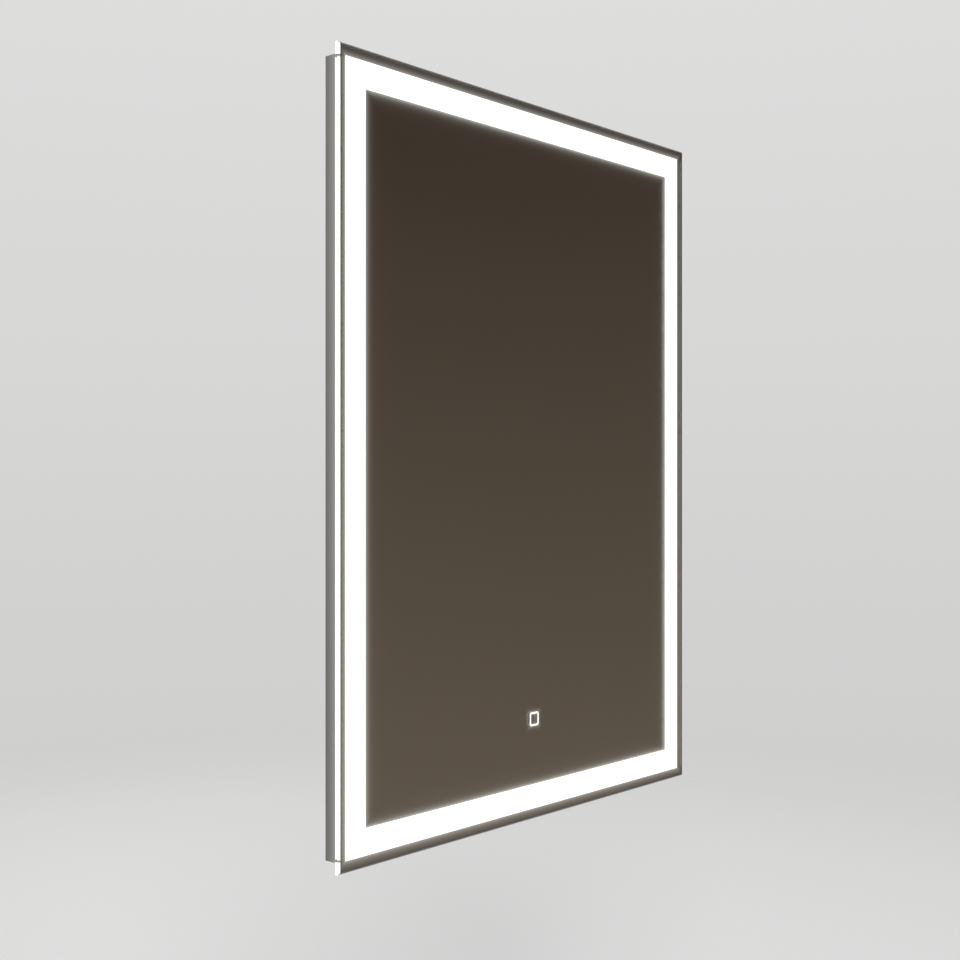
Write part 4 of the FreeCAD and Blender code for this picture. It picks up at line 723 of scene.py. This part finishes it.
def rounded_square(middle, half, radius, steps=6):
    """Points round a square with round corners, in the plane of the glass."""
    points = []
    for quarter, (across, up) in enumerate(((1, 1), (-1, 1), (-1, -1), (1, -1))):
        for step in range(steps + 1):
            turn = (quarter + step / steps) * math.pi / 2
            points.append((middle[0] + across * (half - radius) + radius * math.cos(turn),
                           middle[1] + up * (half - radius) + radius * math.sin(turn)))
    return points


def loop_of(mesh, points, out):
    """Vertices at pairs of across and up, so far out from the wall."""
    return [mesh.verts.new((across, -out, up)) for across, up in points]


def bridge(mesh, first, second, material=0):
    """Faces between two loops of equal length, of one material or of one each."""
    count = len(first)
    for index in range(count):
        following = (index + 1) % count
        face = mesh.faces.new((first[index], first[following], second[following], second[index]))
        face.material_index = material if isinstance(material, int) else material[index]


def fill_round(mesh, outside, inside, material):
    """Fills the flat between a rectangle and the ring inside it, quarter by quarter."""
    count = len(inside)
    steps = count // 4
    for quarter in range(4):
        corner = outside[quarter]
        arc = inside[quarter * steps:(quarter + 1) * steps]
        for first, second in zip(arc, arc[1:]):
            mesh.faces.new((corner, first, second)).material_index = material
        following = inside[((quarter + 1) * steps) % count]
        face = mesh.faces.new((corner, arc[-1], following, outside[(quarter + 1) % 4]))
        face.material_index = material


def turned(mesh, middle, axis, outline, steps):
    """A turned form along an axis through a point, all in millimetres. A radius of its outline
    may also be what gives the radius at a turn. Gives the first and the last ring."""
    loops = []
    across, up = (index for index in range(3) if index != axis)
    for along, radius in outline:
        loop = []
        for turn in (2 * math.pi * step / steps for step in range(steps)):
            reach = radius(turn) if callable(radius) else radius
            point = Vector(middle)
            point[axis] += along
            point[across] += reach * math.cos(turn)
            point[up] += reach * math.sin(turn)
            loop.append(mesh.verts.new(point * MM))
        loops.append(loop)
    for first, second in zip(loops, loops[1:]):
        bridge(mesh, first, second)
    return loops[0], loops[-1]


def softened(node, radius, material, slot):
    """A moulded piece with the outline of its wall side rounded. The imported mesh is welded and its
    flat faces are joined first. The outline lies within a rim of the piece's box."""
    weld, level, rim = 0.002 * MM, 0.01 * MM, 4 * MM
    flat, bent = math.radians(1.0), math.radians(40.0)
    low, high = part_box(node)
    mesh = bmesh.new()
    mesh.from_mesh(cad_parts[node].data)
    bmesh.ops.remove_doubles(mesh, verts=mesh.verts[:], dist=weld)
    bmesh.ops.dissolve_limit(mesh, angle_limit=flat, verts=mesh.verts[:], edges=mesh.edges[:])

    def on_outline(vertex):
        place = vertex.co
        inset = min(place.x - low[0], high[0] - place.x, place.z - low[2], high[2] - place.z)
        return high[1] - place.y < level and inset < rim

    outline = [edge for edge in mesh.edges
               if edge.is_manifold and all(on_outline(end) for end in edge.verts)
               and edge.calc_face_angle() > bent]
    bmesh.ops.bevel(mesh, geom=outline, offset=radius, segments=3, profile=0.5, affect="EDGES")
    return new_piece(f"{node}_moulded", smooth_data(node, mesh), [material], "mirror", slot, node)


def laid_lead(node, route, radius, material):
    """A round lead along its route."""
    data = bpy.data.curves.new(node, "CURVE")
    data.dimensions = "3D"
    spline = data.splines.new("NURBS")
    spline.points.add(len(route) - 1)
    for control, place in zip(spline.points, route):
        control.co = (*(Vector(place) * MM), 1.0)
    spline.order_u = 3
    spline.use_endpoint_u = True
    spline.resolution_u = 10
    data.bevel_depth = radius
    data.bevel_resolution = 4
    data.use_fill_caps = True
    return new_piece(f"{node}_round", data, [material], "mirror", "lead_jacket", node)


def set_on_stage(name, data):
    """A thing of the studio, which isn't part of the mirror."""
    thing = bpy.data.objects.new(name, data)
    bpy.context.scene.collection.objects.link(thing)
    return thing


# ---------------------------------------------------------------- operators

class MIRROR_OT_glass(bpy.types.Operator):
    """Build the glass: sheet, ground edge, silver, lit band and the key's lit ring"""

    bl_idname = "mirror.glass"
    bl_label = "Glass and its light"

    def execute(self, context):
        settings = glass_settings()
        front_out, back_out = -GLASS_LOW.y, -GLASS_HIGH.y + SILVER_GAP
        materials = (float_glass(), polished_edge(), chamfer_painted_dark(), mirror_silver(),
                     etched_light())
        clear, edge, chamfer, silver, lit = range(len(materials))
        mesh = bmesh.new()
        front = loop_of(mesh, glass_outline(settings.chamfer), front_out)
        rim = loop_of(mesh, glass_outline(0.0), front_out - settings.chamfer)
        back = loop_of(mesh, glass_outline(0.0), back_out)
        mesh.faces.new(front).material_index = clear
        bridge(mesh, front, rim, (chamfer, edge, chamfer, edge))
        bridge(mesh, rim, back, edge)
        outer = loop_of(mesh, glass_outline(settings.band_inset), back_out)
        inner = loop_of(mesh, glass_outline(settings.band_inset + settings.band_width), back_out)
        bridge(mesh, back, outer, silver)
        bridge(mesh, outer, inner, lit)

        key = (0.0, KEY_MIDDLE_Z)
        half, stroke, radius = settings.key_side / 2, settings.key_stroke, settings.key_radius
        ring = loop_of(mesh, rounded_square(key, half, radius), back_out)
        island = loop_of(mesh, rounded_square(key, half - stroke, radius - stroke), back_out)
        bridge(mesh, ring, island, lit)
        mesh.faces.new(island).material_index = silver
        fill_round(mesh, inner, ring, silver)
        bmesh.ops.recalc_face_normals(mesh, faces=mesh.faces[:])
        new_piece("glass_sheet", mesh_data("glass_sheet", mesh), materials, "mirror", "glass",
                  "mirror_glass")
        dress(["mirror_coating"], backing_paint())
        return {"FINISHED"}


class MIRROR_OT_frame(bpy.types.Operator):
    """Finish the frame: four mitred channels, the cleats in their corners and the bonding tape"""

    bl_idname = "mirror.frame"
    bl_label = "Frame"

    def execute(self, context):
        fine, long = 2200.0, 3.0
        dress(["frame_top", "frame_bottom"], satin_aluminium("satin_across", (long, fine, fine)))
        dress(["frame_left", "frame_right"], satin_aluminium("satin_upright", (fine, fine, long)))
        dress(["bond_tape_outer", "bond_tape_inner"], foam_tape())
        dress(["corner_cleats"], zinc_steel())
        return {"FINISHED"}


class MIRROR_OT_light(bpy.types.Operator):
    """Finish the light: opal strips, LED tapes, chips and corner wires"""

    bl_idname = "mirror.light"
    bl_label = "Light"

    def execute(self, context):
        dress([f"diffuser_{side}" for side in SIDES], opal_acrylic())
        dress([f"led_chips_{side}" for side in SIDES], phosphor())
        for side in SIDES:
            low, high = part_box(f"led_tape_{side}")
            upright = side in ("left", "right")
            axis = ACROSS if upright else UP
            middle = (low[axis] + high[axis]) / 2
            dress([f"led_tape_{side}"], tape_circuit(f"tape_circuit_{side}", upright, middle))
        dress(["corner_jumpers"], grained_plastic("wire_jacket", body_settings().lead))
        return {"FINISHED"}


class MIRROR_OT_rails(bpy.types.Operator):
    """Finish the rails: wall rail, hanging rail, rivets and bumpers"""

    bl_idname = "mirror.rails"
    bl_label = "Rails and bumpers"

    def execute(self, context):
        dress(["wall_rail", "hanging_rail"], zinc_steel())
        self.make_rivets()
        self.make_bumpers()
        return {"FINISHED"}

    def make_rivets(self):
        """Blind rivets: a domed head round the stub of its pin, a shank, and the set end in the
        channel."""
        mesh = bmesh.new()
        for place in RIVET_PLACES:
            for end in turned(mesh, place, UP, RIVET_HEAD + RIVET_SHANK, steps=32):
                mesh.faces.new(end)
        new_piece("blind_rivets", smooth_data("blind_rivets", mesh), [bright_aluminium()],
                  "mirror", "heatsink", "rail_rivets")

    def make_bumpers(self):
        """Rubber bumpers: a round edge and a dimpled face."""
        mesh = bmesh.new()
        for place in BUMPER_PLACES:
            for end in turned(mesh, place, INTO, BUMPER_OUTLINE, steps=40):
                mesh.faces.new(end)
        new_piece("dimpled_bumpers", smooth_data("dimpled_bumpers", mesh), [soft_rubber()],
                  "mirror", "bumper", "wall_bumpers")


class MIRROR_OT_driver(bpy.types.Operator):
    """Finish the LED driver: case, cover, board and what stands on it, and the mains gland"""

    bl_idname = "mirror.driver"
    bl_label = "LED driver"

    def execute(self, context):
        settings = body_settings()
        moulded = grained_plastic("driver_plastic", settings.driver)
        sleeve = grained_plastic("capacitor_sleeve", (0.04, 0.04, 0.06), 600.0, 0.01, (0.2, 0.3))
        block = grained_plastic("terminal_plastic", (0.06, 0.24, 0.14))
        nylon = grained_plastic("gland_nylon", (0.05, 0.05, 0.052), 900.0, 0.02, (0.34, 0.46))
        dress(["driver_case"], moulded)
        softened("driver_cover", settings.cover_round, moulded, "driver_case")
        dress(["driver_board"], solder_mask())
        dress(["transformer_core"], sintered_ferrite())
        dress(["transformer_coil"], copper())
        dress(["driver_capacitors"], sleeve)
        dress(["driver_heatsink"], bright_aluminium())
        dress(["mains_terminal", "lead_terminal"], block)
        dress(["gland_nut"], nylon)
        self.make_gland(nylon)
        dress(["driver_pads"], foam_tape())
        return {"FINISHED"}

    def make_gland(self, nylon):
        """The mains gland: threaded end, hexagon with turned corners, and a grooved clamping
        cap."""
        def hexagon(cut):
            def radius(turn):
                to_flat = (turn + math.pi / 6) % (math.pi / 3) - math.pi / 6
                return min(GLAND_APOTHEM / math.cos(to_flat), GLAND_CORNER - cut)
            return radius

        def grooved(turn):
            return GLAND_CAP - GLAND_GROOVE_DEPTH * max(0.0, math.cos(GLAND_GROOVES * turn))

        full, turned_down = hexagon(0.0), hexagon(GLAND_CORNER_CUT)
        outline = ((6.0, GLAND_BORE), (6.0, GLAND_THREAD), (0.0, GLAND_THREAD),
                   (0.0, turned_down), (-0.5, full), (-3.5, full), (-4.0, turned_down),
                   (-4.0, GLAND_NECK), (-4.4, GLAND_NECK), (-4.6, grooved), (-9.2, grooved),
                   (-10.0, 5.7), (-11.6, 4.7), (-12.0, 4.3), (-12.0, 3.8), (-11.4, GLAND_BORE))
        mesh = bmesh.new()
        first, last = turned(mesh, GLAND_PLACE, ACROSS, outline, steps=96)
        bridge(mesh, last, first)
        new_piece("grooved_gland", smooth_data("grooved_gland", mesh, sharp=24.0), [nylon],
                  "mirror", "gland", "mains_gland")


class MIRROR_OT_sensor(bpy.types.Operator):
    """Finish the touch sensor: case, board, key lamps, electrode and tape"""

    bl_idname = "mirror.sensor"
    bl_label = "Touch sensor"

    def execute(self, context):
        settings = body_settings()
        moulded = grained_plastic("sensor_plastic", settings.sensor)
        softened("sensor_case", settings.sensor_round, moulded, "sensor_case")
        dress(["sensor_board"], solder_mask())
        dress(["key_lamps"], phosphor())
        dress(["touch_electrode", "electrode_pin"], copper())
        dress(["sensor_tape"], foam_tape())
        return {"FINISHED"}


class MIRROR_OT_leads(bpy.types.Operator):
    """Finish the leads, the clips that hold them and the grommet"""

    bl_idname = "mirror.leads"
    bl_label = "Leads"

    def execute(self, context):
        settings = body_settings()
        jacket = grained_plastic("lead_jacket", settings.lead, 500.0, 0.01, (0.36, 0.46))
        nylon = grained_plastic("clip_nylon", (0.80, 0.79, 0.76), 800.0, 0.02, (0.36, 0.5))
        laid_lead("lead_driver_to_sensor", LONG_LEAD, settings.lead_radius, jacket)
        laid_lead("lead_sensor_to_ring", SHORT_LEAD, settings.lead_radius, jacket)
        dress(["lead_clips"], nylon)
        self.make_grommet()
        return {"FINISHED"}

    def make_grommet(self):
        """The rubber grommet: a flange with a round rim, and a bored neck through the channel's
        wall."""
        mesh = bmesh.new()
        first, last = turned(mesh, GROMMET_PLACE, UP, GROMMET_OUTLINE, steps=32)
        bridge(mesh, last, first)
        new_piece("flanged_grommet", smooth_data("flanged_grommet", mesh), [soft_rubber()],
                  "mirror", "grommet", "frame_grommet")


class MIRROR_OT_stage(bpy.types.Operator):
    """Set the stage: pale floor, dark card in front, soft lamps, background and camera"""

    bl_idname = "mirror.stage"
    bl_label = "Stage"

    def execute(self, context):
        self.make_floor()
        self.make_card()
        self.make_lamps()
        self.make_world()
        self.make_camera()
        context.scene.view_settings.view_transform = "Standard"
        return {"FINISHED"}

    def make_floor(self):
        """A pale disc that fades into the background."""
        mesh = bmesh.new()
        bmesh.ops.create_circle(mesh, cap_ends=True, segments=96, radius=FLOOR_RADIUS)
        data = mesh_data("floor", mesh)
        finish = new_finish("pale_floor")
        across, into, _ = finish.place_parts()
        reach = (across * across + into * into) ** 0.5
        fade = ((reach - FLOOR_FADE_START) / FLOOR_FADE_WIDTH).held()
        fade = fade * fade * (3.0 - 2.0 * fade)
        speckle = finish.noise(60.0, detail=4.0)
        pale = finish.add("ShaderNodeBsdfPrincipled", inputs={
            "Base Color": finish.blend(speckle, (0.78, 0.78, 0.775), (0.81, 0.81, 0.805)),
            "Roughness": 0.8})
        clear = finish.add("ShaderNodeBsdfTransparent")
        faded = finish.add("ShaderNodeMixShader", inputs={0: fade, 1: pale, 2: clear})
        data.materials.append(finish.show(faded))
        floor = set_on_stage("floor", data)
        floor.location.z = stage_settings().floor_height

    def make_card(self):
        """A dark curved card in front of the mirror, its foot turned in over the floor. Only the
        mirror's reflections show it."""
        settings = stage_settings()
        foot = [(radius, settings.floor_height + height) for radius, height in CARD_FOOT]
        turns = [-math.pi * (CARD_GAP + (1 - 2 * CARD_GAP) * step / CARD_STEPS)
                 for step in range(CARD_STEPS + 1)]
        mesh = bmesh.new()
        rows = [[mesh.verts.new((radius * math.cos(turn), radius * math.sin(turn), height))
                 for turn in turns] for radius, height in (*foot, (CARD_RADIUS, CARD_TOP))]
        for lower, upper in zip(rows, rows[1:]):
            for index in range(CARD_STEPS):
                mesh.faces.new((lower[index], lower[index + 1], upper[index + 1], upper[index]))
        data = mesh_data("dark_card", mesh)
        finish = new_finish("dark_card")
        below, height, easing, cloudiness = 1.15, 1.75, 0.8, 0.12
        _, _, up = finish.place_parts()
        climb = ((up + below) / height).held() ** easing
        climb = (climb + finish.noise(1.1) * cloudiness - cloudiness / 2).held()
        tone = finish.blend(climb, settings.card_low, settings.card_high)
        glow = finish.add("ShaderNodeEmission", inputs={"Color": tone, "Strength": 1.0})
        data.materials.append(finish.show(glow))
        data.materials[0].cycles.emission_sampling = "NONE"
        card = set_on_stage("dark_card", data)
        card.visible_camera = False
        card.visible_diffuse = False
        card.visible_shadow = False

    def make_lamps(self):
        """Large soft lamps: the main one from the left, one from the right, one from behind."""
        target = Vector((0.0, 0.0, GLASS_MIDDLE.z))
        for name, place, side, power in LAMPS:
            data = bpy.data.lights.new(name, "AREA")
            data.size = side
            data.energy = power
            lamp = set_on_stage(name, data)
            lamp.location = place
            lamp.rotation_euler = (target - Vector(place)).to_track_quat("-Z", "Y").to_euler()

    def make_world(self):
        """A pale background for the eye, for metal and for glass, and an even light for the
        rest."""
        settings = stage_settings()
        world = bpy.data.worlds.new("studio")
        bpy.context.scene.world = world
        finish = Finish(world)
        path = finish.add("ShaderNodeLightPath", output="Is Camera Ray")
        seen = (path + path.also("Is Glossy Ray") + path.also("Is Transmission Ray")).held()
        direction = finish.add("ShaderNodeTexCoord", output="Generated")
        height = finish.add("ShaderNodeSeparateXYZ", inputs={0: direction}).also("Z")
        backdrop = finish.add("ShaderNodeBackground", inputs={
            "Color": finish.blend(height * 0.5 + 0.5, settings.backdrop_low,
                                  settings.backdrop_high),
            "Strength": 1.0})
        ambient = finish.add("ShaderNodeBackground", inputs={
            "Color": (1.0, 1.0, 1.0, 1.0), "Strength": AMBIENT_LEVEL})
        shader = finish.add("ShaderNodeMixShader", inputs={0: seen, 1: ambient, 2: backdrop})
        finish.add("ShaderNodeOutputWorld", inputs={"Surface": shader})

    def make_camera(self):
        """The camera, level with the mirror's middle and well to its left."""
        data = bpy.data.cameras.new("camera")
        data.lens = stage_settings().lens
        data.sensor_width = 36.0
        camera = set_on_stage("camera", data)
        camera.location = CAMERA_PLACE
        camera.rotation_euler = (math.radians(90.0), 0.0, math.radians(CAMERA_TURN))
        bpy.context.scene.camera = camera


SETTINGS = {"mirror_glass": MirrorGlassSettings, "mirror_body": MirrorBodySettings,
            "mirror_stage": MirrorStageSettings}
OPERATORS = (MIRROR_OT_glass, MIRROR_OT_frame, MIRROR_OT_light, MIRROR_OT_rails,
             MIRROR_OT_driver, MIRROR_OT_sensor, MIRROR_OT_leads, MIRROR_OT_stage)


class MIRROR_PT_pieces(bpy.types.Panel):
    """The mirror's settings and its pieces, in order"""

    bl_idname = "MIRROR_PT_pieces"
    bl_label = "Lighted mirror"
    bl_space_type = "VIEW_3D"
    bl_region_type = "UI"
    bl_category = "Mirror"

    def draw(self, context):
        for group, kind in SETTINGS.items():
            box = self.layout.box()
            for name in kind.__annotations__:
                box.prop(getattr(context.scene, group), name)
        for operator in OPERATORS:
            self.layout.operator(operator.bl_idname)


CLASSES = (*SETTINGS.values(), *OPERATORS, MIRROR_PT_pieces)


def register():
    for item in CLASSES:
        bpy.utils.register_class(item)
    for name, group in SETTINGS.items():
        setattr(bpy.types.Scene, name, PointerProperty(type=group))


def unregister():
    for name in SETTINGS:
        delattr(bpy.types.Scene, name)
    for item in reversed(CLASSES):
        bpy.utils.unregister_class(item)


def main():
    """Builds the whole scene in order."""
    register()
    bpy.ops.mirror.glass()
    bpy.ops.mirror.frame()
    bpy.ops.mirror.light()
    bpy.ops.mirror.rails()
    bpy.ops.mirror.driver()
    bpy.ops.mirror.sensor()
    bpy.ops.mirror.leads()
    bpy.ops.mirror.stage()


if __name__ == "__main__":
    main()
